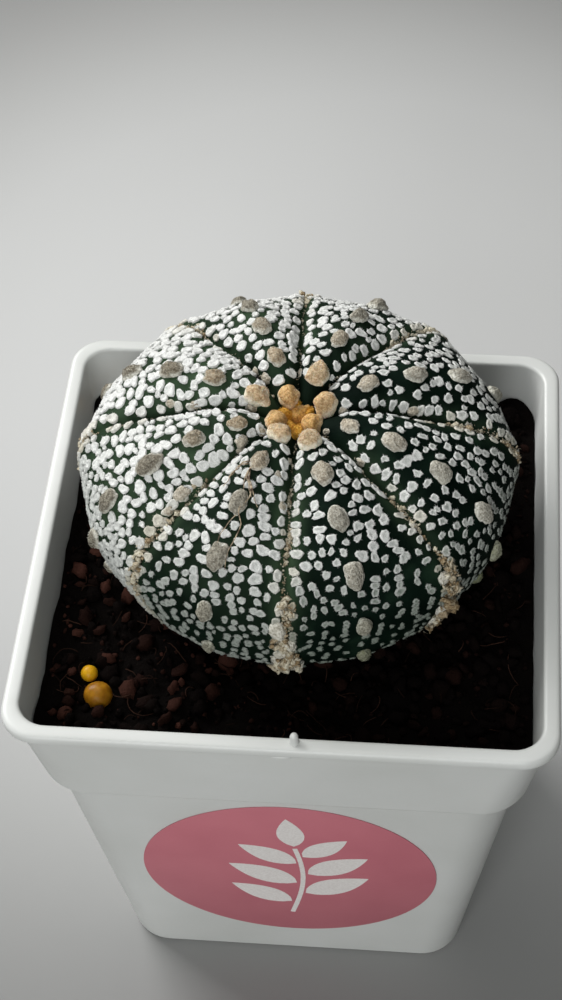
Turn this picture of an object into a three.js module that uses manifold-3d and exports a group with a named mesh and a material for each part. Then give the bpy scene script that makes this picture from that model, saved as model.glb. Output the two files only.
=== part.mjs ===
// A potted star cactus: a ribbed cactus covered in white scales, rooted in peat, in a square plastic pot.
// Millimetres, +Z up. The origin is the middle of the pot's underside, and the round label faces -Y.

import * as THREE from 'three';
import { mergeVertices } from 'three/addons/utils/BufferGeometryUtils.js';
import Module from 'manifold-3d';

const wasm = await Module();
wasm.setup();

const DEGREE = Math.PI / 180;

// The gap that two pieces keep where one rests on the other.
const GAP = 0.3;

// Pot: a rounded square that narrows downwards, with a collar and a thick lip.
const POT_HEIGHT = 70;
const POT_TAPER = Math.tan(7 * DEGREE);
const WALL_THICK = 1.2;
const WALL_CORNER = 7;
const FLOOR_THICK = 2.6;
const LIP_HALF = 36;
const LIP_WIDTH = 2.2;
const LIP_THICK = 1.6;
const LIP_CORNER = 5;
const LIP_ROUND = 0.5;
const COLLAR_HALF = 35.2;
const COLLAR_DEPTH = 17;
const COLLAR_STEP = 1.2;
const BOTTOM_CORNER = 6;

// The pot's underside: a foot round the edge, a round pad in the middle and drain holes between them.
const FOOT_WIDTH = 4.5;
const PAD_RADIUS = 6;
const FOOT_DEPTH = 1;
const DRAIN_RADIUS = 3.2;
const DRAIN_COUNT = 4;
const DRAIN_PLACE = 17.5;

// The peg that the mould's gate leaves, standing on the front of the rim: how far from its middle, and how
// far in from its outer edge.
const GATE_PLACE = 2.3;
const GATE_INSET = 1.5;
const GATE_RADIUS = 0.6;
const GATE_HEIGHT = 1.7;

// Label: a thin round disc on the front wall.
const LABEL_RADIUS = 21;
const LABEL_THICK = 0.4;
const LABEL_DEPTH = 41;
const LABEL_PLACE = 0.3;
const LABEL_GAP = 0.12;

// Soil: a plug of coarse peat whose top lies below the rim.
const SOIL_DEPTH = 7;
const SOIL_RIPPLE = 0.45;
const SOIL_CRUMBLE = 1.1;
const SOIL_RINGS = [1, 0.95, 0.89, 0.83, 0.77, 0.71, 0.64];
const CRUMB_COUNT = 30;
const CRUMB_SMALL = 0.9;
const CRUMB_LARGE = 2.1;
const PLANT_ROOM = 21;

// Fertiliser prills that lie in the soil: where, and how large.
const PRILLS = [
  { x: -24.9, y: -24, radius: 2 },
  { x: -26.5, y: -20.9, radius: 1.2 },
  { x: -28.9, y: 28.9, radius: 1.8 },
];

// Cactus: where its axis stands, and the height of the point that its radii are measured from.
const CACTUS_Y = 4.5;
const CACTUS_CENTRE = POT_HEIGHT + 4.7;
const RIBS = 8;

// The furrows' bearings in degrees from +X, uneven as they grew.
const FURROW_BEARINGS = [-88.9, -44.2, 3, 51.5, 91.5, 131.4, 181.1, 228.6];

// The body's radius in mm against the angle in degrees from straight up, on a rib and in a furrow. Past the
// soil line both follow the root.
const ROOT_RADII = [[160, 23], [170, 30], [180, 41]];
const RIB_TOP_RADII = [[0, 10.3], [25, 17.7], [50, 23.8], [75, 28.8]];
const RIB_RADII = [...RIB_TOP_RADII, [95, 27.8], [115, 24], [140, 20.5], ...ROOT_RADII];
const FURROW_TOP_RADII = [[0, 10.3], [25, 15.9], [50, 20.6], [75, 30]];
const FURROW_RADII = [...FURROW_TOP_RADII, [95, 27.4], [115, 25.3], [140, 22], ...ROOT_RADII];

// The furrow's bottom: a crease on the top of the body, then corky knots down its corners.
const CREASE_DEPTH = 0.8;
const CREASE_HALF = 0.12;
const KNOT_FIRST = 64;
const KNOT_LAST = 108;
const KNOT_SMALL = 0.1;
const KNOT_LARGE = 1.2;

// The skin's cells: places across a rib from its middle, and rows in degrees from straight up.
const CELL_EDGES = [-0.88, -0.54, -0.18, 0.18, 0.54, 0.88, 1];
const MIDDLE_CELL = 2;
const ROW_FIRST = 7.2;
const ROW_STEP = 7.7;
const ROW_COUNT = 14;
const ROOT_ANGLES = [119, 140, 160, 176];

// Areoles: felt mounds down each rib, in every other row. For each rib, the first one's angle, the step to
// the next, and how far they lie from the rib's middle, as a share of half its width. The youngest form the
// crown's wool.
const AREOLE_FIRST = [23.5, 11.5, 16, 7, 13.5, 20, 13, 19.5];
const AREOLE_STEP = [14.4, 15, 14.9, 14.9, 14, 14.5, 14.2, 14.6];
const AREOLE_ASIDE = [-0.17, -0.22, -0.2, -0.2, 0.04, 0.21, 0.2, 0.03];
const AREOLE_LAST = 104;
const AREOLE_LENGTH = 3.4;
const AREOLE_WIDTH = 2.5;
const AREOLE_SIDES = 8;
const AREOLE_HEIGHT = 1.2;

// Crown wool: felt that lines the hollow crown, with the youngest areoles' tufts standing on it.
const CROWN_EDGE = 22;
const TUFT_RADIUS = 1.65;
const TUFT_RISE = 0.9;
const CENTRE_TUFT_RADIUS = 1.9;
const CENTRE_TUFT_RISE = 2.6;
const FELT_RADIUS = 4.6;
const FELT_THICK = 0.9;

// Scales: low white pads of uneven outline, one in most cells of the skin.
const SCALE_SHARE = 0.93;
const SCALE_SIDES = 4;
const SCALE_WIDTH = 2.9;
const SCALE_LENGTH = 3.1;
const SCALE_FILL = 1.05;
const SCALE_HEIGHT = 0.65;
const SCALE_FIRST = 28;

const colours = {
  pot: new THREE.MeshStandardMaterial({ color: 0xe4e6e2, roughness: 0.35, metalness: 0 }),
  label: new THREE.MeshStandardMaterial({ color: 0xc9788a, roughness: 0.6, metalness: 0 }),
  soil: new THREE.MeshStandardMaterial({ color: 0x1c1512, roughness: 1, metalness: 0 }),
  prill: new THREE.MeshStandardMaterial({ color: 0xc98a1c, roughness: 0.35, metalness: 0 }),
  cactus: new THREE.MeshStandardMaterial({ color: 0x2c4634, roughness: 0.7, metalness: 0 }),
  wool: new THREE.MeshStandardMaterial({ color: 0xb98a55, roughness: 1, metalness: 0 }),
};

// A repeatable stream of numbers from 0 to 1.
function seeded(seed) {
  let state = seed;
  return () => {
    state = (state + 0x6d2b79f5) | 0;
    let t = Math.imul(state ^ (state >>> 15), 1 | state);
    t = (t + Math.imul(t ^ (t >>> 7), 61 | t)) ^ t;
    return ((t ^ (t >>> 14)) >>> 0) / 4294967296;
  };
}

// A smooth curve through [x, y] knots, read at x.
function through(knots, x) {
  const last = knots.length - 1;
  let i = 0;
  while (i < last - 1 && knots[i + 1][0] < x) i += 1;
  const slope = (k) => {
    const a = knots[Math.max(k - 1, 0)];
    const b = knots[Math.min(k + 1, last)];
    return (b[1] - a[1]) / (b[0] - a[0]);
  };
  const [x0, y0] = knots[i];
  const [x1, y1] = knots[i + 1];
  const span = x1 - x0;
  const t = (x - x0) / span;
  const t2 = t * t;
  const t3 = t2 * t;
  const ends = (2 * t3 - 3 * t2 + 1) * y0 + (3 * t2 - 2 * t3) * y1;
  return ends + span * ((t3 - 2 * t2 + t) * slope(i) + (t3 - t2) * slope(i + 1));
}

// The geometry of a mesh kept as points and faces of three.
function meshGeometry({ points, faces }) {
  const geometry = new THREE.BufferGeometry();
  const coordinates = points.flatMap((p) => [p.x, p.y, p.z]);
  geometry.setAttribute('position', new THREE.Float32BufferAttribute(coordinates, 3));
  geometry.setIndex(faces);
  geometry.computeVertexNormals();
  return geometry;
}

// The band between two rings of equal length, each counterclockwise from outside.
function joinRings(mesh, lower, upper) {
  lower.forEach((from, k) => {
    const next = (k + 1) % lower.length;
    mesh.faces.push(from, lower[next], upper[next], from, upper[next], upper[k]);
  });
}

// The first ring is closed below, and the last above.
function closeEnds(mesh, ringCount, ringLength) {
  const top = (ringCount - 1) * ringLength;
  for (let j = 1; j < ringLength - 1; j += 1) {
    mesh.faces.push(0, j + 1, j);
    mesh.faces.push(top, top + j, top + j + 1);
  }
}

// A closed skin over rings of equal length.
function loft(rings) {
  const width = rings[0].length;
  const mesh = { points: rings.flat(), faces: [] };
  const numbers = rings.map((ring, r) => ring.map((p, j) => r * width + j));
  for (let r = 0; r < rings.length - 1; r += 1) joinRings(mesh, numbers[r], numbers[r + 1]);
  closeEnds(mesh, rings.length, width);
  return meshGeometry(mesh);
}

// A solid for joining and cutting, from a closed geometry.
function solid(geometry) {
  const bare = geometry.clone();
  bare.deleteAttribute('normal');
  bare.deleteAttribute('uv');
  const merged = mergeVertices(bare, 1e-4);
  const vertProperties = new Float32Array(merged.attributes.position.array);
  const triVerts = new Uint32Array(merged.index.array);
  return new wasm.Manifold(new wasm.Mesh({ numProp: 3, vertProperties, triVerts }));
}

// The geometry of a solid's largest body.
function geometryOf(body) {
  const pieces = body.decompose();
  pieces.sort((a, b) => b.volume() - a.volume());
  const cut = pieces[0].getMesh();
  const geometry = new THREE.BufferGeometry();
  geometry.setAttribute('position', new THREE.BufferAttribute(new Float32Array(cut.vertProperties), 3));
  geometry.setIndex(Array.from(cut.triVerts));
  geometry.computeVertexNormals();
  return geometry;
}

function piece(name, geometry, material) {
  const mesh = new THREE.Mesh(geometry, material);
  mesh.name = name;
  return mesh;
}

// A square ring with round corners, at one height.
function roundedSquare(half, corner, z, cornerSteps = 5, sideSteps = 1) {
  const points = [];
  const flat = half - corner;
  for (let side = 0; side < 4; side += 1) {
    const turn = side * 90 * DEGREE;
    for (let k = 0; k <= cornerSteps; k += 1) {
      const angle = (k / cornerSteps) * 90 * DEGREE;
      const p = new THREE.Vector3(flat + corner * Math.cos(angle), flat + corner * Math.sin(angle), z);
      points.push(p.applyAxisAngle(new THREE.Vector3(0, 0, 1), turn));
    }
    for (let k = 1; k < sideSteps; k += 1) {
      const p = new THREE.Vector3(flat * (1 - (2 * k) / sideSteps), half, z);
      points.push(p.applyAxisAngle(new THREE.Vector3(0, 0, 1), turn));
    }
  }
  return points;
}

// The pot's half width at a depth below the rim: outside, then inside.
function outerHalf(depth) {
  const step = depth > COLLAR_DEPTH ? COLLAR_STEP : 0;
  return COLLAR_HALF - POT_TAPER * depth - step;
}

function innerHalf(depth) {
  const step = depth > COLLAR_DEPTH ? COLLAR_STEP - (LIP_WIDTH - WALL_THICK) / 2 : 0;
  return LIP_HALF - LIP_WIDTH - POT_TAPER * depth - step;
}

function makePot() {
  const lipInner = LIP_HALF - LIP_WIDTH;
  const innerCorner = LIP_CORNER - LIP_WIDTH + 1;
  const rim = POT_HEIGHT;
  const belowStep = COLLAR_DEPTH + COLLAR_STEP;
  const outline = [
    [outerHalf(POT_HEIGHT) - LIP_ROUND, BOTTOM_CORNER, 0],
    [outerHalf(POT_HEIGHT), BOTTOM_CORNER + LIP_ROUND, 2 * LIP_ROUND],
    [outerHalf(belowStep), WALL_CORNER, rim - belowStep],
    [outerHalf(COLLAR_DEPTH), WALL_CORNER, rim - COLLAR_DEPTH],
    [outerHalf(LIP_THICK), LIP_CORNER, rim - LIP_THICK],
    [LIP_HALF - LIP_ROUND / 2, LIP_CORNER, rim - LIP_THICK],
    [LIP_HALF, LIP_CORNER + LIP_ROUND, rim - 2 * LIP_ROUND],
    [LIP_HALF - LIP_ROUND / 3, LIP_CORNER, rim - LIP_ROUND / 2],
    [LIP_HALF - LIP_ROUND, LIP_CORNER - LIP_ROUND, rim],
    [lipInner + LIP_ROUND / 2, innerCorner, rim],
    [lipInner, innerCorner, rim - LIP_ROUND / 2],
    [innerHalf(COLLAR_DEPTH), innerCorner + 1, rim - COLLAR_DEPTH],
    [innerHalf(belowStep), WALL_CORNER - WALL_THICK, rim - belowStep],
    [innerHalf(POT_HEIGHT - FLOOR_THICK), BOTTOM_CORNER - WALL_THICK, FLOOR_THICK],
  ];
  let pot = solid(loft(outline.map(([half, corner, z]) => roundedSquare(half, corner, z))));

  // A channel between the foot and the pad lifts the drain holes off the surface.
  const channelHalf = outerHalf(POT_HEIGHT) - FOOT_WIDTH;
  const channel = loft([
    roundedSquare(channelHalf, BOTTOM_CORNER - 2, -1),
    roundedSquare(channelHalf, BOTTOM_CORNER - 2, FOOT_DEPTH),
  ]);
  const pad = new THREE.CylinderGeometry(PAD_RADIUS, PAD_RADIUS, 4 * FOOT_DEPTH, 24);
  pad.rotateX(Math.PI / 2);
  pot = pot.subtract(solid(channel).subtract(solid(pad)));
  for (let k = 0; k < DRAIN_COUNT; k += 1) {
    const hole = new THREE.CylinderGeometry(DRAIN_RADIUS, DRAIN_RADIUS, 4 * FLOOR_THICK, 20);
    hole.rotateX(Math.PI / 2);
    hole.translate(DRAIN_PLACE, 0, 0);
    hole.rotateZ((45 + (360 * k) / DRAIN_COUNT) * DEGREE);
    pot = pot.subtract(solid(hole));
  }

  const gate = new THREE.CylinderGeometry(GATE_RADIUS * 0.7, GATE_RADIUS, 2 * GATE_HEIGHT, 8);
  gate.rotateX(Math.PI / 2);
  gate.translate(GATE_PLACE, GATE_INSET - LIP_HALF, POT_HEIGHT);
  pot = pot.add(solid(gate));
  return piece('pot', geometryOf(pot), colours.pot);
}

function makeLabel() {
  const geometry = new THREE.CylinderGeometry(LABEL_RADIUS, LABEL_RADIUS, LABEL_THICK, 48);
  const label = piece('label', geometry, colours.label);
  const lean = Math.atan(POT_TAPER);
  const outward = LABEL_THICK / 2 + LABEL_GAP;
  label.position.set(LABEL_PLACE, -outerHalf(LABEL_DEPTH), POT_HEIGHT - LABEL_DEPTH);
  label.position.y -= outward * Math.cos(lean);
  label.position.z -= outward * Math.sin(lean);
  label.rotation.x = lean;
  return label;
}

// The bearing of a place across a rib, in radians: 0 is the rib's middle, and -1 and 1 are its furrows.
function bearing(rib, across) {
  const from = FURROW_BEARINGS[rib];
  const to = rib + 1 < RIBS ? FURROW_BEARINGS[rib + 1] : FURROW_BEARINGS[0] + 360;
  return ((from + to) / 2 + (across * (to - from)) / 2) * DEGREE;
}

// Where the areoles sit down one rib, as angles from straight up.
function areoleAngles(rib) {
  const angles = [];
  for (let angle = AREOLE_FIRST[rib]; angle <= AREOLE_LAST; angle += AREOLE_STEP[rib]) angles.push(angle);
  return angles;
}

// How far a rib's areoles lie aside at an angle: most at the crown.
function areoleAcross(rib, angle) {
  return AREOLE_ASIDE[rib] * (1.5 - angle / 90);
}

// How far a rib's rows bend up or down at its middle, so that its areoles fall in the middle of a row.
function rowBend(rib, angle) {
  const firstMiddle = ROW_FIRST + ROW_STEP / 2;
  const row = firstMiddle + ROW_STEP * Math.round((AREOLE_FIRST[rib] - firstMiddle) / ROW_STEP);
  const stretch = AREOLE_STEP[rib] / (2 * ROW_STEP) - 1;
  return AREOLE_FIRST[rib] - row + stretch * (angle - row);
}

// What stands or is sunk at a furrow's bottom: the crease above, and knots of uneven size below.
function furrowRelief(rib, across, angle) {
  const nearness = Math.max(0, 1 - (1 - Math.abs(across)) / CREASE_HALF);
  if (angle < KNOT_FIRST) return -CREASE_DEPTH * nearness * Math.min(1, (angle - ROW_FIRST) / ROW_STEP);
  if (angle > KNOT_LAST) return 0;
  const uneven = 0.5 + 0.5 * Math.sin(2.4 * rib + 1.9 * angle);
  return (KNOT_SMALL + (KNOT_LARGE - KNOT_SMALL) * uneven) * nearness;
}

// A point on the cactus' skin, grown outwards or lifted where a neighbour needs room.
function skin(rib, across, angle, grow = 0, lift = 0) {
  const share = across * across;
  const rise = through(RIB_RADII, angle) * (1 - share) + through(FURROW_RADII, angle) * share;
  const radius = rise + furrowRelief(rib, across, angle);
  const reach = radius * Math.sin(angle * DEGREE) + grow;
  const turn = bearing(rib, across);
  return new THREE.Vector3(
    reach * Math.cos(turn),
    CACTUS_Y + reach * Math.sin(turn),
    CACTUS_CENTRE + radius * Math.cos(angle * DEGREE) + lift,
  );
}

// The direction out of the skin at a place.
function skinOut(rib, across, angle) {
  const small = 0.04;
  const down = skin(rib, across, angle + 1).sub(skin(rib, across, angle - 1));
  const side = skin(rib, across + small, angle).sub(skin(rib, across - small, angle));
  return new THREE.Vector3().crossVectors(down, side).normalize();
}

// The skin's grid from the root's tip to the crown: each row holds places as [rib, across, angle].
function skinRows() {
  const angles = [...ROOT_ANGLES].reverse();
  for (let row = ROW_COUNT - 1; row >= 0; row -= 1) angles.push(ROW_FIRST + ROW_STEP * row);
  return angles.map((angle) => {
    const row = [];
    for (let rib = 0; rib < RIBS; rib += 1) {
      const isBent = angle > ROW_FIRST && angle < ROOT_ANGLES[0];
      const aside = isBent ? areoleAcross(rib, angle) : 0;
      const bend = isBent ? rowBend(rib, angle) : 0;
      CELL_EDGES.forEach((across) => {
        const inner = 1 - across * across;
        row.push([rib, across + aside * inner, angle + bend * inner]);
      });
    }
    return row;
  });
}

// The bare body from the root's tip to the crown, grown or lifted all over.
function bodySolid(grow, lift) {
  return solid(loft(skinRows().map((row) => row.map((place) => skin(...place, grow, lift)))));
}

// The cells' corners in order round each cell: lower left, lower right, upper right, upper left.
function skinCells(rows) {
  const cells = [];
  const width = rows[0].length;
  for (let r = 0; r < rows.length - 1; r += 1) {
    for (let j = 0; j < width; j += 1) {
      const next = (j + 1) % width;
      const column = j % CELL_EDGES.length;
      const corners = [r * width + j, r * width + next, (r + 1) * width + next, (r + 1) * width + j];
      cells.push({ rib: Math.floor(j / CELL_EDGES.length), column, corners });
    }
  }
  return cells;
}

// Raises a mound inside one cell: an outline on the skin, then rings at their heights and sizes.
function raiseMound(mesh, cell, places, { sides, length, width, levels, turn = 0, rough = () => 1 }) {
  const [low, , high] = cell.corners.map((k) => places[k]);
  const [across, angle] = [(low[1] + high[1]) / 2, (low[2] + high[2]) / 2];
  const corners = cell.corners.map((k) => skin(...places[k]));
  const reachAcross = Math.min(SCALE_FILL, width / corners[0].distanceTo(corners[1]));
  const reachDown = Math.min(SCALE_FILL, length / corners[0].distanceTo(corners[3]));
  const out = skinOut(cell.rib, across, angle);
  const outline = [];
  for (let k = 0; k < sides; k += 1) {
    const bearingInCell = (-135 + (360 * k) / sides) * DEGREE + turn;
    const size = rough();
    outline.push([Math.cos(bearingInCell) * size, Math.sin(bearingInCell) * size]);
  }
  const rings = levels.map(([height, share]) =>
    outline.map(([u, v]) => {
      const place = [
        across + (u * share * reachAcross * (high[1] - low[1])) / 2,
        angle + (v * share * reachDown * (high[2] - low[2])) / 2,
      ];
      mesh.points.push(skin(cell.rib, ...place).addScaledVector(out, height));
      return mesh.points.length - 1;
    }),
  );
  joinCornersToRing(mesh, cell.corners, rings[0]);
  for (let r = 0; r < rings.length - 1; r += 1) joinRings(mesh, rings[r], rings[r + 1]);
  const top = rings[rings.length - 1];
  for (let k = 1; k < sides - 1; k += 1) mesh.faces.push(top[0], top[k], top[k + 1]);
}

// The skin between a cell's four corners and the outline inside it.
function joinCornersToRing(mesh, corners, ring) {
  const perSide = ring.length / corners.length;
  for (let side = 0; side < corners.length; side += 1) {
    const [from, to] = [corners[side], corners[(side + 1) % corners.length]];
    for (let i = 0; i < perSide; i += 1) {
      const first = ring[side * perSide + i];
      const second = ring[(side * perSide + i + 1) % ring.length];
      mesh.faces.push(i < perSide / 2 ? from : to, second, first);
    }
    mesh.faces.push(from, to, ring[(side * perSide + Math.ceil(perSide / 2)) % ring.length]);
  }
}

// A cell with nothing on it.
function barePatch([a, b, c, d]) {
  return [a, b, c, a, c, d];
}

// An areole is an oval dome, and a scale a low pad with slanting sides.
function areoleMound() {
  const levels = [[0, 1], [AREOLE_HEIGHT * 0.7, 0.85], [AREOLE_HEIGHT, 0.35]];
  return { sides: AREOLE_SIDES, length: AREOLE_LENGTH, width: AREOLE_WIDTH, levels };
}

function scaleMound(random) {
  const size = 0.85 + 0.3 * random();
  const levels = [[0, 1], [SCALE_HEIGHT, 0.82]];
  return {
    sides: SCALE_SIDES,
    length: SCALE_LENGTH * size,
    width: SCALE_WIDTH * size,
    levels,
    turn: 0.7 * (random() - 0.5),
    rough: () => 0.75 + 0.38 * random(),
  };
}

function makeCactus() {
  const random = seeded(41);
  const rows = skinRows();
  const places = rows.flat();
  const mesh = { points: places.map((place) => skin(...place)), faces: [] };
  skinCells(rows).forEach((cell) => {
    const middle = (places[cell.corners[0]][2] + places[cell.corners[2]][2]) / 2;
    const onSkin = middle > CROWN_EDGE && middle < ROW_FIRST + ROW_STEP * (ROW_COUNT - 1);
    const isAreole = cell.column === MIDDLE_CELL
      && areoleAngles(cell.rib).some((angle) => Math.abs(angle - middle) < ROW_STEP / 2);
    const isScale = cell.column < CELL_EDGES.length - 2 && middle > SCALE_FIRST && random() < SCALE_SHARE;
    if (onSkin && isAreole) raiseMound(mesh, cell, places, areoleMound());
    else if (onSkin && isScale) raiseMound(mesh, cell, places, scaleMound(random));
    else mesh.faces.push(...barePatch(cell.corners));
  });
  closeEnds(mesh, rows.length, rows[0].length);
  return piece('cactus', meshGeometry(mesh), colours.cactus);
}

// A round lump with few faces.
function lump(x, y, z, radius, detail, squash = 1) {
  const geometry = new THREE.IcosahedronGeometry(radius, detail);
  geometry.scale(1, 1, squash);
  geometry.translate(x, y, z);
  return solid(geometry);
}

function makeCrownWool() {
  const centre = skin(0, 0, 0);
  const crown = new THREE.CylinderGeometry(FELT_RADIUS, FELT_RADIUS, 4 * FELT_RADIUS, 20);
  crown.rotateX(Math.PI / 2);
  crown.translate(0, CACTUS_Y, centre.z + FELT_RADIUS);
  let wool = bodySolid(0, GAP + FELT_THICK).intersect(solid(crown));
  wool = wool.add(lump(0, CACTUS_Y, centre.z + CENTRE_TUFT_RISE, CENTRE_TUFT_RADIUS, 1));
  for (let rib = 0; rib < RIBS; rib += 1) {
    areoleAngles(rib)
      .filter((angle) => angle < CROWN_EDGE)
      .forEach((angle) => {
        const across = areoleAcross(rib, angle);
        const place = skin(rib, across, angle).addScaledVector(skinOut(rib, across, angle), TUFT_RISE);
        wool = wool.add(lump(place.x, place.y, place.z, TUFT_RADIUS, 1));
      });
  }
  wool = wool.subtract(bodySolid(0, GAP));
  return piece('crown_wool', geometryOf(wool), colours.wool);
}

// The soil's height above its mean, as gentle lumps of three sizes.
function soilRipple(x, y) {
  const broad = Math.sin(0.31 * x + 0.17 * y + 1.2) * Math.cos(0.23 * y - 0.12 * x);
  const middle = Math.sin(0.71 * x - 0.43 * y + 0.4);
  const fine = Math.cos(1.07 * y + 0.66 * x + 2.1);
  return SOIL_RIPPLE * (broad + 0.6 * middle + 0.5 * fine);
}

function soilTop(x, y) {
  return POT_HEIGHT - SOIL_DEPTH + soilRipple(x, y);
}

function makeSoil() {
  const random = seeded(7);
  const sides = 6;
  const corners = 3;
  const ring = (depth, corner) =>
    roundedSquare(innerHalf(depth) - GAP, corner, POT_HEIGHT - depth, corners, sides);
  const innerCorner = LIP_CORNER - LIP_WIDTH + 1;
  const rings = [
    ring(POT_HEIGHT - FLOOR_THICK - GAP, BOTTOM_CORNER - WALL_THICK),
    ring(COLLAR_DEPTH + COLLAR_STEP, WALL_CORNER - WALL_THICK),
    ring(COLLAR_DEPTH - GAP, innerCorner + 1),
  ];
  const edge = ring(SOIL_DEPTH, innerCorner + 0.4);
  SOIL_RINGS.forEach((share) => {
    rings.push(
      edge.map((p) => {
        const [x, y] = [p.x * share, p.y * share];
        return new THREE.Vector3(x, y, soilTop(x, y) + SOIL_CRUMBLE * (random() - 0.5));
      }),
    );
  });
  let soil = solid(loft(rings));

  const reach = innerHalf(SOIL_DEPTH) - GAP;
  for (let placed = 0; placed < CRUMB_COUNT; ) {
    const x = reach * (2 * random() - 1);
    const y = reach * (2 * random() - 1);
    const radius = CRUMB_SMALL + (CRUMB_LARGE - CRUMB_SMALL) * random() ** 2;
    const clearOfWall = Math.max(Math.abs(x), Math.abs(y)) + radius < reach - 0.4;
    const clearOfPlant = Math.hypot(x, y - CACTUS_Y) > PLANT_ROOM;
    const clearOfPrills = PRILLS.every((near) => Math.hypot(x - near.x, y - near.y) > radius + near.radius);
    const clearOfCorner = Math.hypot(x, y) < 1.3 * reach;
    if (clearOfWall && clearOfPlant && clearOfPrills && clearOfCorner) {
      soil = soil.add(lump(x, y, soilTop(x, y) + 0.15 * radius, radius, 0, 0.8));
      placed += 1;
    }
  }
  soil = soil.subtract(bodySolid(GAP + 0.2, -GAP));
  PRILLS.forEach(({ x, y, radius }) => {
    soil = soil.subtract(lump(x, y, prillHeight(x, y, radius), radius + GAP, 1));
  });
  return piece('soil', geometryOf(soil), colours.soil);
}

// A prill lies a third of its height deep in the soil.
function prillHeight(x, y, radius) {
  return soilTop(x, y) + radius / 3;
}

function makePrills() {
  return PRILLS.map(({ x, y, radius }, k) => {
    const prill = piece(`prill_${k + 1}`, new THREE.IcosahedronGeometry(radius, 1), colours.prill);
    prill.position.set(x, y, prillHeight(x, y, radius));
    return prill;
  });
}

const pottedCactus = new THREE.Group();
pottedCactus.name = 'potted_star_cactus';
pottedCactus.add(makePot());
pottedCactus.add(makeLabel());
pottedCactus.add(makeSoil());
pottedCactus.add(makeCactus());
pottedCactus.add(makeCrownWool());
pottedCactus.add(...makePrills());

export default pottedCactus;
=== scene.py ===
"""The looks of a potted star cactus: skin, scales, felt areoles, crown wool, peat and a white plastic pot.

Every length is in metres and every place is in the model's own frame: +Z up, the middle of the pot's
underside at the origin, and the round label facing -Y.
"""

import math
from functools import cache
from typing import NamedTuple

import bmesh
import bpy
import numpy as np
from mathutils import Matrix, Vector


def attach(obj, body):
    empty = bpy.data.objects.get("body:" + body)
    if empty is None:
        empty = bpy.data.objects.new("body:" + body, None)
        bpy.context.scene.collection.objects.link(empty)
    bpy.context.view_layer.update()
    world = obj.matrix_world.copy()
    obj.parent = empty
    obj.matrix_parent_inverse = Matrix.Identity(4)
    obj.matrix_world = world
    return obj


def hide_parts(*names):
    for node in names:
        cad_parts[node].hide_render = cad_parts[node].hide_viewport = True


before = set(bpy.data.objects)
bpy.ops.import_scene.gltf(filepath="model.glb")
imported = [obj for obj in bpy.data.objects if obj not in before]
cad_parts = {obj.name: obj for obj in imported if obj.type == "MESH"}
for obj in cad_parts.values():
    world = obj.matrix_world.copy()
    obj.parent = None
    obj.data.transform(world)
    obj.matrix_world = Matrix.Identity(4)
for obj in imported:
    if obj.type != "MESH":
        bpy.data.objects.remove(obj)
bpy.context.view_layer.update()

MM = 0.001

# Pot, as in the solids
POT_HEIGHT = 70 * MM
POT_TAPER = math.tan(math.radians(7))
WALL_THICK = 1.2 * MM
WALL_CORNER = 7 * MM
FLOOR_THICK = 2.6 * MM
LIP_HALF = 36 * MM
LIP_WIDTH = 2.2 * MM
LIP_THICK = 1.6 * MM
LIP_CORNER = 5 * MM
COLLAR_HALF = 35.2 * MM
COLLAR_DEPTH = 17 * MM
COLLAR_STEP = 1.2 * MM
BOTTOM_CORNER = 6 * MM
FOOT_WIDTH = 4.5 * MM
FOOT_DEPTH = 1 * MM
PAD_RADIUS = 6 * MM
DRAIN_RADIUS = 3.2 * MM
DRAIN_PLACE = 17.5 * MM
DRAIN_COUNT = 4
SHARP_EDGE = 50

# The peg on the rim: its place and radius, and its profile as heights above the rim in millimetres and
# shares of the radius
GATE = (2.3 * MM, -34.5 * MM)
GATE_RADIUS = 0.6 * MM
GATE_PROFILE = [(-0.4, 1.25), (0, 1.15), (0.25, 1), (1.2, 0.92), (1.5, 0.75), (1.66, 0.4), (1.7, 0.1)]

# The small bump under the lip
MARK_PLACE = 0.6 * MM
MARK_DEPTH = 3.1 * MM
MARK_SIZE = (1.3 * MM, 0.32 * MM, 0.45 * MM)

# Label
LABEL_RADIUS = 21 * MM
LABEL_DEPTH = 41 * MM
LABEL_PLACE = 0.3 * MM
LABEL_THICK = 0.12 * MM
LABEL_GAP = 0.02 * MM

# The sprig printed on the label: its stem in millimetres, and each leaf's place along it, turn and length
STEM_FOOT = -14.5
STEM_LENGTH = 22.5
STEM_BEND = 1.9
STEM_WIDTH = 0.7 * MM
LEAVES = [
    (0.16, 148, 11), (0.3, 34, 12), (0.46, 150, 12), (0.6, 36, 11.5),
    (0.76, 146, 10.5), (0.86, 44, 9.5), (1.0, 96, 9.5),
]
PRINT_THICK = 0.02 * MM

# Soil and prills
SOIL_DEPTH = 7 * MM
GAP = 0.3 * MM

# Cactus: its axis, the point that its radii are measured from, its furrows and its radii
CACTUS_Y = 4.5 * MM
CACTUS_CENTRE = POT_HEIGHT + 4.7 * MM
FURROW_BEARINGS = [-88.9, -44.2, 3, 51.5, 91.5, 131.4, 181.1, 228.6]
RIBS = len(FURROW_BEARINGS)
SPANS = np.column_stack([FURROW_BEARINGS, FURROW_BEARINGS[1:] + [FURROW_BEARINGS[0] + 360]])
ROOT = [(160, 23), (170, 30), (180, 41)]
RIB_RADII = [(0, 10.3), (25, 17.7), (50, 23.8), (75, 28.8), (95, 27.8), (115, 24), (140, 20.5), *ROOT]
FURROW_RADII = [(0, 10.3), (25, 15.9), (50, 20.6), (75, 30), (95, 27.4), (115, 25.3), (140, 22), *ROOT]

# Areoles down each rib: the first and the step in degrees from straight up, and how far each row lies from
# the middle of its rib, as a share of the rib's half width
AREOLE_FIRST = [23.5, 11.5, 16, 7, 13.5, 20, 13, 19.5]
AREOLE_STEP = [14.4, 15, 14.9, 14.9, 14, 14.5, 14.2, 14.6]
AREOLE_ASIDE = [-0.17, -0.22, -0.2, -0.2, 0.04, 0.21, 0.2, 0.03]
AREOLE_LAST = 106
CROWN_EDGE = 24

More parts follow.
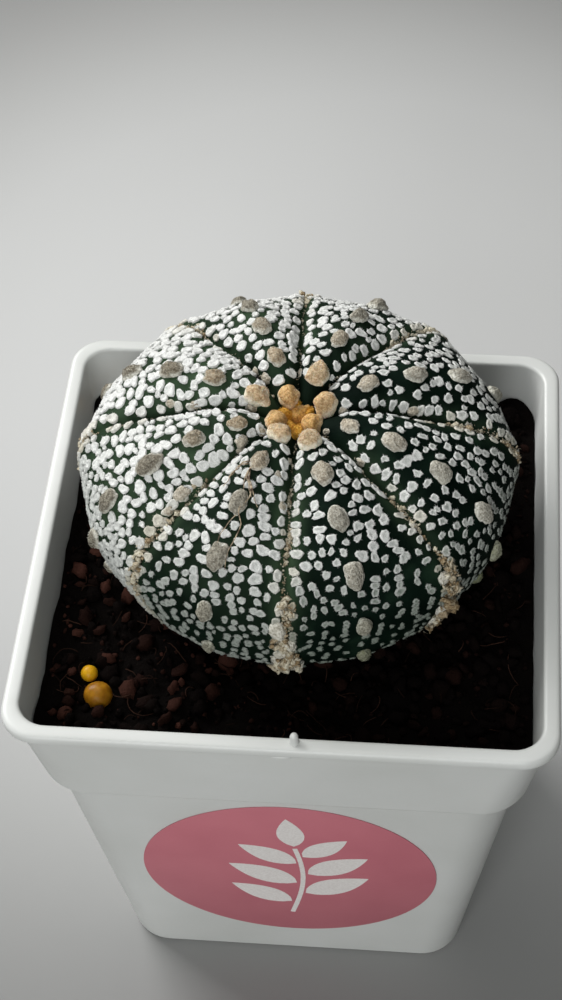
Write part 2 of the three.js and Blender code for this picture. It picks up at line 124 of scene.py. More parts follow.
# Relief of the skin: the furrows' creases and their lips, the swellings under areoles and the unevenness
CREASE_DEPTH = 0.9 * MM
LIP_RISE = 0.22 * MM
SWELLING_RISE = 0.45 * MM
UNEVEN_RISE = 0.18 * MM

# Points of the skin across each rib
SKIN_STEPS = 44

# How pale the skin is beside each furrow
FURROW_BANDS = [0.5, 0.35, 0.6, 0.7, 0.6, 0.5, 1, 0.9]

# The camera: its angle above the level, bearing and roll, its distance from the middle of the rim, its
# shift in its own plane, its focal length and the picture's height in pixels, and its sensor in millimetres
CAMERA_HEIGHT_ANGLE = 49.3
CAMERA_BEARING = 6.5
CAMERA_ROLL = -2.4
CAMERA_DISTANCE = 290 * MM
CAMERA_ASIDE = -2.19 * MM
CAMERA_ABOVE = 4.45 * MM
CAMERA_FOCAL_PIXELS = 2110
PICTURE_PIXELS = 1000
SENSOR = 36

# The table: where its painted light is brightest, how far that painted light reaches, and half its side
TABLE_BRIGHT = (2 * MM, 98 * MM, 0)
TABLE_REACH = 210 * MM
TABLE_HALF = 1.2


# Numbers and noise

def smooth_knots(knots, x):
    """A smooth curve through (x, y) knots, read at an array of x."""
    xs = np.array([k[0] for k in knots], float)
    ys = np.array([k[1] for k in knots], float)
    slopes = np.empty_like(ys)
    slopes[1:-1] = (ys[2:] - ys[:-2]) / (xs[2:] - xs[:-2])
    slopes[0] = (ys[1] - ys[0]) / (xs[1] - xs[0])
    slopes[-1] = (ys[-1] - ys[-2]) / (xs[-1] - xs[-2])
    i = np.clip(np.searchsorted(xs, x) - 1, 0, len(xs) - 2)
    span = xs[i + 1] - xs[i]
    t = (x - xs[i]) / span
    ends = (2 * t**3 - 3 * t**2 + 1) * ys[i] + (3 * t**2 - 2 * t**3) * ys[i + 1]
    return ends + span * ((t**3 - 2 * t**2 + t) * slopes[i] + (t**3 - t**2) * slopes[i + 1])


def hash_lattice(cells, seed):
    """A number from 0 to 1 for each whole-numbered lattice place."""
    x, y, z = np.moveaxis(cells, -1, 0)
    mixed = x * 73856093 ^ y * 19349663 ^ z * 83492791 ^ seed * 2654435761
    mixed = ((mixed ^ (mixed >> 13)) & 0xFFFFFFFF) * 1274126177
    mixed = mixed ^ (mixed >> 16)
    return (mixed & 0xFFFFF) / 0xFFFFF


def value_noise(points, size, seed=0):
    """Smooth noise from -1 to 1 whose features are about size across."""
    scaled = np.asarray(points, float) / size
    cells = np.floor(scaled).astype(np.int64)
    part = scaled - cells
    part = part * part * (3 - 2 * part)
    total = np.zeros(scaled.shape[:-1])
    for corner in range(8):
        offset = np.array([corner & 1, corner >> 1 & 1, corner >> 2 & 1])
        weight = np.prod(np.where(offset, part, 1 - part), axis=-1)
        total += weight * hash_lattice(cells + offset, seed)
    return 2 * total - 1


def layered_noise(points, size, layers, seed=0):
    """Noise with finer and weaker layers on it."""
    total = np.zeros(np.asarray(points).shape[:-1])
    for layer in range(layers):
        total += value_noise(points, size / 2**layer, seed + layer) / 2**layer
    return total / (2 - 2 ** (1 - layers))


def smooth_step(low, high, x):
    """From 0 at low to 1 at high, with soft ends."""
    t = np.clip((x - low) / (high - low), 0, 1)
    return t * t * (3 - 2 * t)


# Meshes

def add_object(name, data):
    made = bpy.data.objects.new(name, data)
    bpy.context.scene.collection.objects.link(made)
    return made


def make_mesh(name, points, faces, material, tone=None, shade=None, smooth=True):
    """An object from points and faces, with up to two numbers kept at each point for its material."""
    mesh = bpy.data.meshes.new(name)
    mesh.from_pydata(np.asarray(points, float).tolist(), [], np.asarray(faces).tolist())
    for label, values in (("tone", tone), ("shade", shade)):
        if values is not None:
            kept = mesh.attributes.new(label, "FLOAT", "POINT")
            kept.data.foreach_set("value", np.asarray(values, np.float32))
    mesh.validate()
    if smooth:
        mesh.shade_smooth()
    mesh.materials.append(material)
    return add_object(name, mesh)


def settle(piece, replaces):
    """The piece rides on the pot's body and stands for its nodes, which are hidden."""
    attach(piece, "root")
    if replaces:
        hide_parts(replaces)
    return piece


class Heap:
    """Many small closed shapes gathered into one mesh."""

    def __init__(self):
        self.points = []
        self.faces = []
        self.tones = []
        self.shades = []
        self.count = 0

    def add(self, points, faces, tone, shade=0.0):
        self.points.append(points)
        self.faces.append(faces + self.count)
        self.tones.append(np.broadcast_to(tone, len(points)))
        self.shades.append(np.broadcast_to(shade, len(points)))
        self.count += len(points)

    def add_many(self, shapes, faces, tones, shades=0.0):
        """A stack of shapes that share one set of faces, with a tone for each shape."""
        number, size = shapes.shape[:2]
        every = faces[None] + size * np.arange(number)[:, None, None]
        tones = np.repeat(np.broadcast_to(tones, number), size)
        shades = np.broadcast_to(shades, (number, size)).ravel()
        self.add(shapes.reshape(-1, 3), every.reshape(-1, faces.shape[1]), tones, shades)

    def piece(self, name, material, smooth=True):
        points, faces = np.concatenate(self.points), np.concatenate(self.faces)
        tones, shades = np.concatenate(self.tones), np.concatenate(self.shades)
        return make_mesh(name, points, faces, material, tones, shades, smooth)


@cache
def ball_template(detail):
    """A round template of radius 1 with even triangles."""
    ball = bmesh.new()
    bmesh.ops.create_icosphere(ball, subdivisions=detail, radius=1)
    points = np.array([v.co[:] for v in ball.verts])
    faces = np.array([[v.index for v in f.verts] for f in ball.faces])
    ball.free()
    return points, faces


def ring_faces(ring_count, ring_length):
    """Triangles between rings of equal length, counterclockwise from outside."""
    j = np.arange(ring_length)
    nxt = (j + 1) % ring_length
    bands = []
    for r in range(ring_count - 1):
        low, high = r * ring_length, (r + 1) * ring_length
        bands.append(np.stack([low + j, low + nxt, high + nxt], 1))
        bands.append(np.stack([low + j, high + nxt, high + j], 1))
    return np.concatenate(bands)


def fan_faces(ring, centre, flip=False):
    """Triangles from a ring of point numbers to a centre."""
    ring = np.asarray(ring)
    nxt = np.roll(ring, -1)
    middle = np.full(len(ring), centre)
    return np.stack([nxt, ring, middle] if flip else [ring, nxt, middle], 1)


def closed_rings(rings):
    """Points and triangles of a closed shape over rings of equal length, with a point in each end."""
    length = len(rings[0])
    points = np.concatenate([*rings, [rings[0].mean(0)], [rings[-1].mean(0)]])
    last = (len(rings) - 1) * length
    faces = [
        ring_faces(len(rings), length),
        fan_faces(np.arange(length), len(points) - 2, flip=True),
        fan_faces(last + np.arange(length), len(points) - 1),
    ]
    return points, np.concatenate(faces)


def broken_bits(rng, detail, number, stretch, rough):
    """Angular bits of radius about 1, each stretched and turned its own way, and their shared faces."""
    base, faces = ball_template(detail)
    turns = np.linalg.qr(rng.normal(0, 1, (number, 3, 3)))[0]
    sides = rng.uniform(*stretch, (number, 1, 3))
    return (base[None] * sides * rng.uniform(*rough, (number, len(base), 1))) @ turns, faces


# Materials

class Nodes:
    """A short way to write one material's nodes."""

    def __init__(self, name):
        self.material = bpy.data.materials.new(name)
        self.material.use_nodes = True
        self.tree = self.material.node_tree
        self.shader = self.tree.nodes["Principled BSDF"]
        self.place = self.tree.nodes.new("ShaderNodeTexCoord").outputs["Object"]

    def node(self, kind, inputs=(), **settings):
        made = self.tree.nodes.new(kind)
        for key, value in settings.items():
            setattr(made, key, value)
        for key, value in dict(inputs).items():
            self.feed(made.inputs[key], value)
        return made

    def feed(self, socket, value):
        if isinstance(value, bpy.types.NodeSocket):
            self.tree.links.new(value, socket)
        else:
            socket.default_value = value

    def noise(self, size, detail=3.0, rough=0.5):
        inputs = {"Vector": self.place, "Scale": 1 / size, "Detail": detail, "Roughness": rough}
        return self.node("ShaderNodeTexNoise", inputs).outputs["Fac"]

    def cells(self, size, feature="F1"):
        inputs = {"Vector": self.place, "Scale": 1 / size}
        return self.node("ShaderNodeTexVoronoi", inputs, feature=feature).outputs["Distance"]

    def kept(self, label):
        return self.node("ShaderNodeAttribute", attribute_name=label).outputs["Fac"]

    def ramp(self, fac, places, colours, bend="LINEAR"):
        made = self.node("ShaderNodeValToRGB", {"Fac": fac})
        ramp = made.color_ramp
        ramp.interpolation = bend
        while len(ramp.elements) < len(places):
            ramp.elements.new(0.5)
        for element, place, colour in zip(ramp.elements, places, colours):
            element.position = place
            element.color = (*colour, 1)
        return made.outputs["Color"]

    def level(self, fac, low, high):
        inputs = {"Value": fac, "To Min": low, "To Max": high}
        return self.node("ShaderNodeMapRange", inputs).outputs["Result"]

    def mix(self, fac, a, b, blend="MIX"):
        made = self.node("ShaderNodeMix", data_type="RGBA", blend_type=blend)
        for socket, value in ((made.inputs[0], fac), (made.inputs[6], a), (made.inputs[7], b)):
            self.feed(socket, (*value, 1) if isinstance(value, tuple) and len(value) == 3 else value)
        return made.outputs[2]

    def combine(self, a, b, kind="ADD"):
        made = self.node("ShaderNodeMath", operation=kind)
        self.feed(made.inputs[0], a)
        self.feed(made.inputs[1], b)
        return made.outputs[0]

    def bump(self, height, distance, strength=1.0):
        inputs = {"Height": height, "Distance": distance, "Strength": strength}
        made = self.node("ShaderNodeBump", inputs)
        self.feed(self.shader.inputs["Normal"], made.outputs["Normal"])

    def finish(self, colour, roughness, **numbers):
        self.feed(self.shader.inputs["Base Color"], colour)
        self.feed(self.shader.inputs["Roughness"], roughness)
        for key, value in numbers.items():
            self.shader.inputs[key.replace("_", " ")].default_value = value
        return self.material


def plastic_material():
    nodes = Nodes("white_plastic")
    cloud = nodes.noise(14 * MM, 2)
    speck = nodes.noise(0.6 * MM, 2)
    colour = nodes.ramp(cloud, (0.3, 0.7), [(0.575, 0.585, 0.565), (0.62, 0.63, 0.615)])
    nodes.bump(nodes.combine(nodes.combine(cloud, 6, "MULTIPLY"), speck), 0.02 * MM, 0.6)
    return nodes.finish(colour, nodes.level(speck, 0.3, 0.42))


def label_material():
    nodes = Nodes("pink_paper")
    fibre = nodes.noise(0.35 * MM, 3)
    cloud = nodes.noise(9 * MM, 2)
    base = nodes.ramp(cloud, (0.3, 0.7), [(0.46, 0.125, 0.16), (0.5, 0.145, 0.18)])
    colour = nodes.mix(nodes.level(fibre, 0, 0.12), base, (0.6, 0.28, 0.32))
    nodes.bump(fibre, 0.02 * MM, 0.5)
    return nodes.finish(colour, 0.55)


def print_material():
    nodes = Nodes("pale_print")
    fibre = nodes.noise(0.35 * MM, 3)
    colour = nodes.ramp(fibre, (0.3, 0.7), [(0.66, 0.62, 0.6), (0.76, 0.73, 0.71)])
    nodes.bump(fibre, 0.02 * MM, 0.5)
    return nodes.finish(colour, 0.55)


def skin_material():
    nodes = Nodes("cactus_skin")
    patch = nodes.noise(5 * MM, 4)
    grain = nodes.noise(0.35 * MM, 3)
    pore = nodes.cells(0.28 * MM)
    greens = [(0.001, 0.0036, 0.0026), (0.0024, 0.0072, 0.0048), (0.0075, 0.019, 0.011)]
    dark = nodes.ramp(patch, (0.35, 0.58, 0.75), greens)
    pale = nodes.mix(nodes.level(patch, 0.4, 1.0), dark, (0.058, 0.1, 0.052))
    # The kept tone holds the pale furrow bands and patches, with painted light on the left and painted
    # shade low on the far side
    colour = nodes.mix(nodes.kept("tone"), dark, pale)
    colour = nodes.mix(nodes.level(grain, 0.0, 0.05), colour, (0.02, 0.04, 0.022), "SCREEN")
    nodes.bump(nodes.combine(nodes.combine(grain, 0.6, "MULTIPLY"), pore), 0.05 * MM, 0.5)
    return nodes.finish(colour, nodes.level(grain, 0.55, 0.75), Specular_IOR_Level=0.02)


def scale_material():
    nodes = Nodes("white_scales")
    felt = nodes.noise(0.13 * MM, 3, 0.7)
    fold = nodes.noise(0.42 * MM, 3, 0.6)
    white = nodes.mix(nodes.kept("tone"), (0.92, 0.92, 0.9), (0.76, 0.68, 0.48))
    grey = nodes.mix(nodes.kept("tone"), (0.25, 0.285, 0.245), (0.3, 0.26, 0.17))
    # The kept shade holds the grey middles and random greying, lessened as painted light on the left and
    # raised as painted shade low on the far side
    colour = nodes.mix(nodes.kept("shade"), white, grey)
    # Painted shade: the felt's dips and the folds' hollows, where the bump is low, are darkened
    dark = nodes.ramp(felt, (0.36, 0.56), [(0.42, 0.43, 0.42), (1, 1, 1)])
    colour = nodes.mix(0.4, colour, dark, "MULTIPLY")
    hollow = nodes.ramp(fold, (0.36, 0.5), [(0.52, 0.53, 0.52), (1, 1, 1)])
    colour = nodes.mix(0.36, colour, hollow, "MULTIPLY")
    nodes.bump(nodes.combine(felt, nodes.combine(fold, 3, "MULTIPLY")), 0.14 * MM, 0.9)
    return nodes.finish(colour, 0.9, Specular_IOR_Level=0.2)


def felt_material():
    nodes = Nodes("areole_felt")
    felt = nodes.noise(0.34 * MM, 4, 0.7)
    grain = nodes.cells(0.26 * MM)
    places = (0.34, 0.5, 0.66)
    old = nodes.ramp(felt, places, [(0.05, 0.042, 0.03), (0.15, 0.13, 0.095), (0.36, 0.33, 0.26)])
    young = nodes.ramp(felt, places, [(0.2, 0.13, 0.07), (0.42, 0.31, 0.19), (0.62, 0.5, 0.35)])
    # Negative tones: weathered green for low areoles, partly painted shade where they face away from the
    # light
    weathered_and_shaded = nodes.ramp(felt, places, [(0.05, 0.055, 0.035), (0.13, 0.14, 0.09), (0.28, 0.3, 0.2)])
    dull = (0.16, 0.18, 0.08)
    weathered_and_shaded_share = nodes.combine(nodes.kept("tone"), -1.0, "MULTIPLY")
    top = nodes.mix(weathered_and_shaded_share, nodes.mix(nodes.kept("tone"), old, young), weathered_and_shaded)
    top = nodes.mix(nodes.level(grain, 0.4, -0.3), top, (0.6, 0.57, 0.48))
    skirt = nodes.ramp(felt, (0.34, 0.5, 0.62), [(0.4, 0.38, 0.31), (0.68, 0.66, 0.58), (0.82, 0.81, 0.75)])
    skirt = nodes.mix(weathered_and_shaded_share, skirt, dull)
    colour = nodes.mix(nodes.kept("shade"), skirt, top)
    nodes.bump(nodes.combine(felt, grain, "SUBTRACT"), 0.2 * MM, 1.0)
    return nodes.finish(colour, 0.95, Specular_IOR_Level=0.2)


def wool_material():
    nodes = Nodes("crown_wool")
    felt = nodes.noise(0.3 * MM, 5, 0.65)
    places = (0.32, 0.5, 0.68)
    deep = nodes.ramp(felt, places, [(0.36, 0.15, 0.012), (0.62, 0.31, 0.045), (0.82, 0.5, 0.12)])
    tan = nodes.ramp(felt, places, [(0.2, 0.115, 0.05), (0.45, 0.3, 0.155), (0.72, 0.57, 0.38)])
    skirt = nodes.ramp(felt, (0.32, 0.5, 0.66), [(0.55, 0.47, 0.33), (0.8, 0.74, 0.6), (0.88, 0.85, 0.76)])
    outer = nodes.mix(nodes.kept("shade"), skirt, tan)
    colour = nodes.mix(nodes.kept("tone"), deep, outer)
    nodes.bump(felt, 0.14 * MM, 1.0)
    glow = {"Subsurface_Weight": 0.12, "Subsurface_Scale": 0.5 * MM}
    return nodes.finish(colour, 0.95, Specular_IOR_Level=0.15, **glow)


def cork_material():
    nodes = Nodes("furrow_cork")
    grain = nodes.noise(0.2 * MM, 4, 0.7)
    places = (0.3, 0.48, 0.66)
    amber = nodes.ramp(grain, places, [(0.05, 0.028, 0.012), (0.24, 0.165, 0.085), (0.52, 0.43, 0.29)])
    cream = nodes.ramp(grain, places, [(0.26, 0.21, 0.13), (0.58, 0.53, 0.4), (0.8, 0.77, 0.67)])
    colour = nodes.mix(nodes.kept("tone"), amber, cream)
    nodes.bump(grain, 0.15 * MM, 1.0)
    return nodes.finish(colour, 0.95, Specular_IOR_Level=0.15)


def strand_material():
    nodes = Nodes("dried_strand")
    grain = nodes.noise(0.5 * MM, 3)
    colour = nodes.ramp(grain, (0.38, 0.6), [(0.09, 0.05, 0.03), (0.52, 0.42, 0.29)])
    return nodes.finish(colour, 0.7)


def peat_material(name, dark, brown):
    nodes = Nodes(name)
    patch = nodes.noise(2.6 * MM, 4, 0.6)
    grain = nodes.noise(0.35 * MM, 4, 0.7)
    colour = nodes.mix(nodes.kept("tone"), dark, brown)
    colour = nodes.mix(nodes.level(patch, 0.0, 0.5), colour, (0.0045, 0.0028, 0.0022))
    colour = nodes.mix(nodes.level(grain, 0.0, 0.5), colour, (0.35, 0.3, 0.28), "MULTIPLY")
    nodes.bump(nodes.combine(grain, patch), 0.3 * MM, 1.0)
    return nodes.finish(colour, nodes.level(grain, 0.75, 0.95), Specular_IOR_Level=0.03)


def prill_material():
    nodes = Nodes("amber_resin")
    cloud = nodes.noise(1.3 * MM, 3)
    bright = nodes.mix(nodes.level(cloud, 0.0, 0.6), (0.55, 0.27, 0.006), (0.78, 0.45, 0.015))
    dull = nodes.mix(nodes.level(cloud, -0.4, 1.4), (0.16, 0.055, 0.001), (0.42, 0.19, 0.012))
    colour = nodes.mix(nodes.kept("tone"), bright, dull)
    nodes.bump(cloud, 0.1 * MM, 0.4)
    glow = {"Subsurface_Weight": 0.1, "Subsurface_Scale": 1 * MM}
    return nodes.finish(colour, 0.35, Specular_IOR_Level=0.2, **glow)


def table_material():
    """A pale table with painted light and shade: it darkens softly away from where the plant stands."""
    nodes = Nodes("pale_table")
    moved = nodes.node("ShaderNodeVectorMath", operation="SUBTRACT")
    nodes.feed(moved.inputs[0], nodes.place)
    moved.inputs[1].default_value = TABLE_BRIGHT
    sized = nodes.node("ShaderNodeVectorMath", operation="SCALE")
    nodes.feed(sized.inputs[0], moved.outputs[0])
    sized.inputs["Scale"].default_value = 1 / TABLE_REACH
    glow = nodes.node("ShaderNodeTexGradient", {"Vector": sized.outputs[0]}, gradient_type="SPHERICAL")
    cloud = nodes.noise(60 * MM, 2)
    dark = [(0.24, 0.24, 0.237), (0.155, 0.155, 0.152)]
    greys = [*dark, (0.32, 0.32, 0.316), (0.43, 0.432, 0.43), (0.53, 0.532, 0.53)]
    # Painted light and shade: the grey falls from pale round the plant to dark further off
    colour = nodes.ramp(glow.outputs["Fac"], (0, 0.28, 0.45, 0.6, 0.85), greys, "B_SPLINE")
    colour = nodes.mix(nodes.level(cloud, 0.0, 0.12), colour, (0.5, 0.5, 0.5), "MULTIPLY")
    return nodes.finish(colour, 0.6)


# Camera, light and table

def add_camera():
    """A view from above the front, with the rim and two walls in sight."""
    height, side, roll = (math.radians(a) for a in (CAMERA_HEIGHT_ANGLE, CAMERA_BEARING, CAMERA_ROLL))
    level_share = math.cos(height)
    back = Vector((math.sin(side) * level_share, -math.cos(side) * level_share, math.sin(height)))
    level = Vector((math.cos(side), math.sin(side), 0))
    above = back.cross(level)
    right = math.cos(roll) * level + math.sin(roll) * above
    up = math.cos(roll) * above - math.sin(roll) * level
    place = Vector((0, 0, POT_HEIGHT)) + back * CAMERA_DISTANCE + right * CAMERA_ASIDE + up * CAMERA_ABOVE
    data = bpy.data.cameras.new("photo_view")
    data.sensor_width = SENSOR
    data.lens = SENSOR * CAMERA_FOCAL_PIXELS / PICTURE_PIXELS
    data.clip_start = 0.01
    camera = add_object("photo_view", data)
    camera.matrix_world = Matrix.Translation(place) @ Matrix((right, up, back)).transposed().to_4x4()
    bpy.context.scene.camera = camera


def add_area_light(name, place, target, size, power, colour):
    """A square light at a place, turned to its target."""
    data = bpy.data.lights.new(name, "AREA")
    data.shape = "SQUARE"
    data.size = size
    data.energy = power
    data.color = colour
    light = add_object(name, data)
    light.location = place
    light.rotation_euler = (Vector(target) - Vector(place)).to_track_quat("-Z", "Y").to_euler()


def add_light():
    """Soft daylight from behind and the left, and dim surroundings."""
    middle = (0, 0, 0.06)
    add_area_light("window", (-0.45, 0.4, 0.5), middle, 0.45, 6.5, (1.0, 1.0, 0.99))
    add_area_light("ceiling", (-0.1, 0.1, 0.9), middle, 0.7, 2.2, (1.0, 1.0, 0.99))
    add_area_light("fill", (-0.12, -0.8, 0.5), middle, 0.5, 4.4, (0.98, 1.0, 1.0))
    add_area_light("bounce", (-0.08, -0.5, 0.09), (0, -0.03, 0.04), 0.16, 0.3, (1.0, 1.0, 0.99))
    world = bpy.data.worlds.new("surroundings")
    world.use_nodes = True
    background = world.node_tree.nodes["Background"]
    background.inputs["Color"].default_value = (0.96, 1.0, 0.95, 1)
    background.inputs["Strength"].default_value = 0.1
    bpy.context.scene.world = world
    bpy.context.scene.view_settings.view_transform = "Standard"


def add_table():
    corners = np.array([(-1, -1, 0), (1, -1, 0), (1, 1, 0), (-1, 1, 0)]) * TABLE_HALF
    table = make_mesh("table", corners, [(0, 1, 2, 3)], table_material())


# Pot

def rounded_square(half, corner, z, corner_steps=12):
    """A square ring with round corners, counterclockwise from above."""
    points = []
    flat = half - corner
    for side in range(4):
        turn = side * math.pi / 2
        for k in range(corner_steps + 1):
            angle = turn + k / corner_steps * math.pi / 2
            start = math.pi / 4 + turn
            middle = (flat * math.sqrt(2) * math.cos(start), flat * math.sqrt(2) * math.sin(start))
            points.append((middle[0] + corner * math.cos(angle), middle[1] + corner * math.sin(angle), z))
    return np.array(points)


def outer_half(depth):
    step = COLLAR_STEP if depth > COLLAR_DEPTH else 0
    return COLLAR_HALF - POT_TAPER * depth - step


def inner_half(depth):
    step = COLLAR_STEP - (LIP_WIDTH - WALL_THICK) / 2 if depth > COLLAR_DEPTH else 0
    return LIP_HALF - LIP_WIDTH - POT_TAPER * depth - step


def rounded(before, corner, after, radius, steps=5):
    """Replaces a corner of an outline by an arc-like bend."""
    before, corner, after = (np.array(p, float) for p in (before, corner, after))
    start = corner + (before - corner) / np.linalg.norm((before - corner)[::2]) * radius
    end = corner + (after - corner) / np.linalg.norm((after - corner)[::2]) * radius
    bend = []
    for t in np.linspace(0, 1, steps):
        bend.append(tuple((1 - t) ** 2 * start + 2 * t * (1 - t) * corner + t**2 * end))
    return bend


def pot_outline():
    """The pot's section from its underside, up the outside, over the lip and down to its floor.

    Its rows are half width, corner radius and height, and every edge is rounded.
    """
    rim = POT_HEIGHT
    below_step = COLLAR_DEPTH + COLLAR_STEP
    lip_inner = LIP_HALF - LIP_WIDTH
    inner_corner = LIP_CORNER - LIP_WIDTH + 1 * MM
    corners = [
        (outer_half(POT_HEIGHT) - 3 * MM, BOTTOM_CORNER - 2 * MM, 0, 0),
        (outer_half(POT_HEIGHT) - 0.1 * MM, BOTTOM_CORNER, 0, 0.8 * MM),
        (outer_half(below_step), WALL_CORNER, rim - below_step, 0.7 * MM),
        (outer_half(COLLAR_DEPTH), WALL_CORNER, rim - COLLAR_DEPTH, 0.5 * MM),
        (outer_half(LIP_THICK), LIP_CORNER, rim - LIP_THICK, 0.45 * MM),
        (LIP_HALF, LIP_CORNER, rim - LIP_THICK, 0.45 * MM),
        (LIP_HALF, LIP_CORNER, rim, 0.75 * MM),
        (lip_inner, inner_corner, rim, 0.5 * MM),
        (inner_half(COLLAR_DEPTH), inner_corner + 1 * MM, rim - COLLAR_DEPTH, 0.5 * MM),
        (inner_half(below_step), WALL_CORNER - WALL_THICK, rim - below_step, 0.5 * MM),
        (inner_half(POT_HEIGHT - FLOOR_THICK), BOTTOM_CORNER - WALL_THICK, FLOOR_THICK, 0.8 * MM),
        (inner_half(POT_HEIGHT) - 3 * MM, BOTTOM_CORNER - 3 * MM, FLOOR_THICK, 0),
    ]
    outline = [corners[0][:3]]
    for before, corner, after in zip(corners, corners[1:], corners[2:]):
        outline += rounded(before[:3], corner[:3], after[:3], corner[3])
    outline.append(corners[-1][:3])
    return outline


def cut(piece, cutters, operation="DIFFERENCE"):
    """Cuts or joins closed pieces, and removes the tools."""
    for tool in cutters:
        step = piece.modifiers.new("cut", "BOOLEAN")
        step.operation = operation
        step.object = tool
        step.solver = "EXACT"
    done = bpy.data.meshes.new_from_object(piece.evaluated_get(bpy.context.evaluated_depsgraph_get()))
    piece.modifiers.clear()
    piece.data = done
    for tool in cutters:
        bpy.data.objects.remove(tool)


def loft_piece(name, rings, material):
    """A closed object over rings of equal length."""
    return make_mesh(name, *closed_rings(rings), material)


def disc_rings(radius, heights, centre, count=40):
    """Round level rings of one radius at several heights."""
    angles = np.linspace(0, 2 * math.pi, count, endpoint=False)
    ring = np.stack([centre[0] + radius * np.cos(angles), centre[1] + radius * np.sin(angles)], 1)
    return [np.column_stack([ring, np.full(count, z)]) for z in heights]


def make_pot():
    """The lofted pot, with its underside and drain holes cut out, its edges crisp and its mould marks."""
    material = plastic_material()
    rings = [rounded_square(*row) for row in pot_outline()]
    pot = loft_piece("pot_shell", rings, material)
    half = outer_half(POT_HEIGHT) - FOOT_WIDTH
    rings = [rounded_square(half, BOTTOM_CORNER - 2 * MM, z) for z in (-FOOT_DEPTH, FOOT_DEPTH)]
    channel = loft_piece("channel", rings, material)
    pad = loft_piece("pad", disc_rings(PAD_RADIUS, (-2 * FOOT_DEPTH, 2 * FOOT_DEPTH), (0, 0)), material)
    cut(channel, [pad])
    tools = [channel]
    for k in range(DRAIN_COUNT):
        angle = math.radians(45 + 360 * k / DRAIN_COUNT)
        centre = (DRAIN_PLACE * math.cos(angle), DRAIN_PLACE * math.sin(angle))
        rings = disc_rings(DRAIN_RADIUS, (-FLOOR_THICK, 2 * FLOOR_THICK), centre)
        tools.append(loft_piece("drain", rings, material))
    cut(pot, tools)
    add_gate_peg(pot, material)
    add_mould_mark(pot, material)
    pot.data.shade_smooth()
    pot.data.set_sharp_from_angle(angle=math.radians(SHARP_EDGE))
    settle(pot, "pot")


def add_gate_peg(pot, material):
    """The short peg that the mould leaves on the rim, with a round top."""
    rings = []
    for height, share in GATE_PROFILE:
        rings += disc_rings(GATE_RADIUS * share, (POT_HEIGHT + height * MM,), GATE, 20)
    cut(pot, [loft_piece("peg", rings, material)], "UNION")


def add_mould_mark(pot, material):
    """A small low bump that the mould leaves under the lip's front."""
    base, faces = ball_template(3)
    points = base * MARK_SIZE + [MARK_PLACE, -outer_half(MARK_DEPTH), POT_HEIGHT - MARK_DEPTH]
    cut(pot, [make_mesh("mark", points, faces, material)], "UNION")


# Label

def on_label(shape, height):
    """Points of the label's own plane, with its middle at the origin and lifted off the wall."""
    lean = math.atan(POT_TAPER)
    out = np.array([0, -math.cos(lean), -math.sin(lean)])
    up = np.array([0, -math.sin(lean), math.cos(lean)])
    centre = np.array([LABEL_PLACE, -outer_half(LABEL_DEPTH), POT_HEIGHT - LABEL_DEPTH])
    x, y = np.transpose(shape)
    return centre + np.outer(x, (1, 0, 0)) + np.outer(y, up) + height * out


def label_disc(radius, low, high, count=96):
    """Rings of the label's disc, with a slightly rounded rim."""
    angles = np.linspace(0, 2 * math.pi, count, endpoint=False)
    shape = np.stack([np.cos(angles), np.sin(angles)], 1)
    edge = high - low
    steps = ((radius, low), (radius, high - edge / 3), (radius - edge / 2, high))
    return [on_label(shape * r, z) for r, z in steps]


def stem_place(t):
    """A place in the label's plane, from 0 at the sprig's foot to 1 at its tip."""
    return STEM_BEND * math.sin(2.6 * t) * MM, (STEM_FOOT + t * STEM_LENGTH) * MM


def make_label():
    top = LABEL_GAP + LABEL_THICK
    disc = loft_piece("label_disc", label_disc(LABEL_RADIUS, LABEL_GAP, top), label_material())
    settle(disc, "label")
    heap = Heap()
    stem = np.array([stem_place(t) for t in np.linspace(0, 1, 15)])
    add_print(heap, stem, [STEM_WIDTH / 2] * len(stem), top)
    for t, turn, length in LEAVES:
        add_print_leaf(heap, stem_place(t), math.radians(turn), length * MM, top)
    settle(heap.piece("label_print", print_material(), smooth=False), None)


def add_print_leaf(heap, foot, turn, length, top):
    """A pointed leaf with a short stalk."""
    t = np.linspace(0, 1, 13)
    width = 0.03 * MM + 0.2 * length * np.sin(math.pi * t**0.8) ** 0.9
    along = np.array([math.cos(turn), math.sin(turn)])
    middle = np.array(foot) + np.outer(0.08 * length + 0.92 * length * t, along)
    add_print(heap, middle, width, top)


def add_print(heap, middle, width, top):
    """One printed shape, a very thin plate on the label, from its middle line and half width along it."""
    along = np.gradient(middle, axis=0)
    along /= np.linalg.norm(along, axis=1, keepdims=True)
    aside = np.column_stack([-along[:, 1], along[:, 0]]) * np.reshape(width, (-1, 1))
    low, high = top - PRINT_THICK / 2, top + PRINT_THICK
    corners = [(middle + aside, low), (middle + aside, high), (middle - aside, high), (middle - aside, low)]
    points = np.stack([on_label(line, height) for line, height in corners], 1).reshape(-1, 3)
    foot = np.array([(2, 1, 0), (3, 2, 0)])
    tip = np.array([(0, 1, 2), (0, 2, 3)]) + len(points) - 4
    heap.add(points, np.concatenate([ring_faces(len(middle), 4), foot, tip]), 0.0)


# The cactus' skin

def rib_half_width(rib, angle):
    """Half a rib's width in metres, measured round the body."""
    first, last = SPANS[rib][..., 0], SPANS[rib][..., 1]
    radius = smooth_knots(RIB_RADII, angle) * MM
    return radius * np.sin(np.radians(angle)) * np.radians(last - first) / 2


def areole_angles(rib):
    return np.arange(AREOLE_FIRST[rib], AREOLE_LAST, AREOLE_STEP[rib])


def areole_across(rib, angle):
    """Where the row of areoles lies across its rib: most aside near the crown."""
    return np.array(AREOLE_ASIDE)[rib] * (1.5 - np.asarray(angle) / 90)


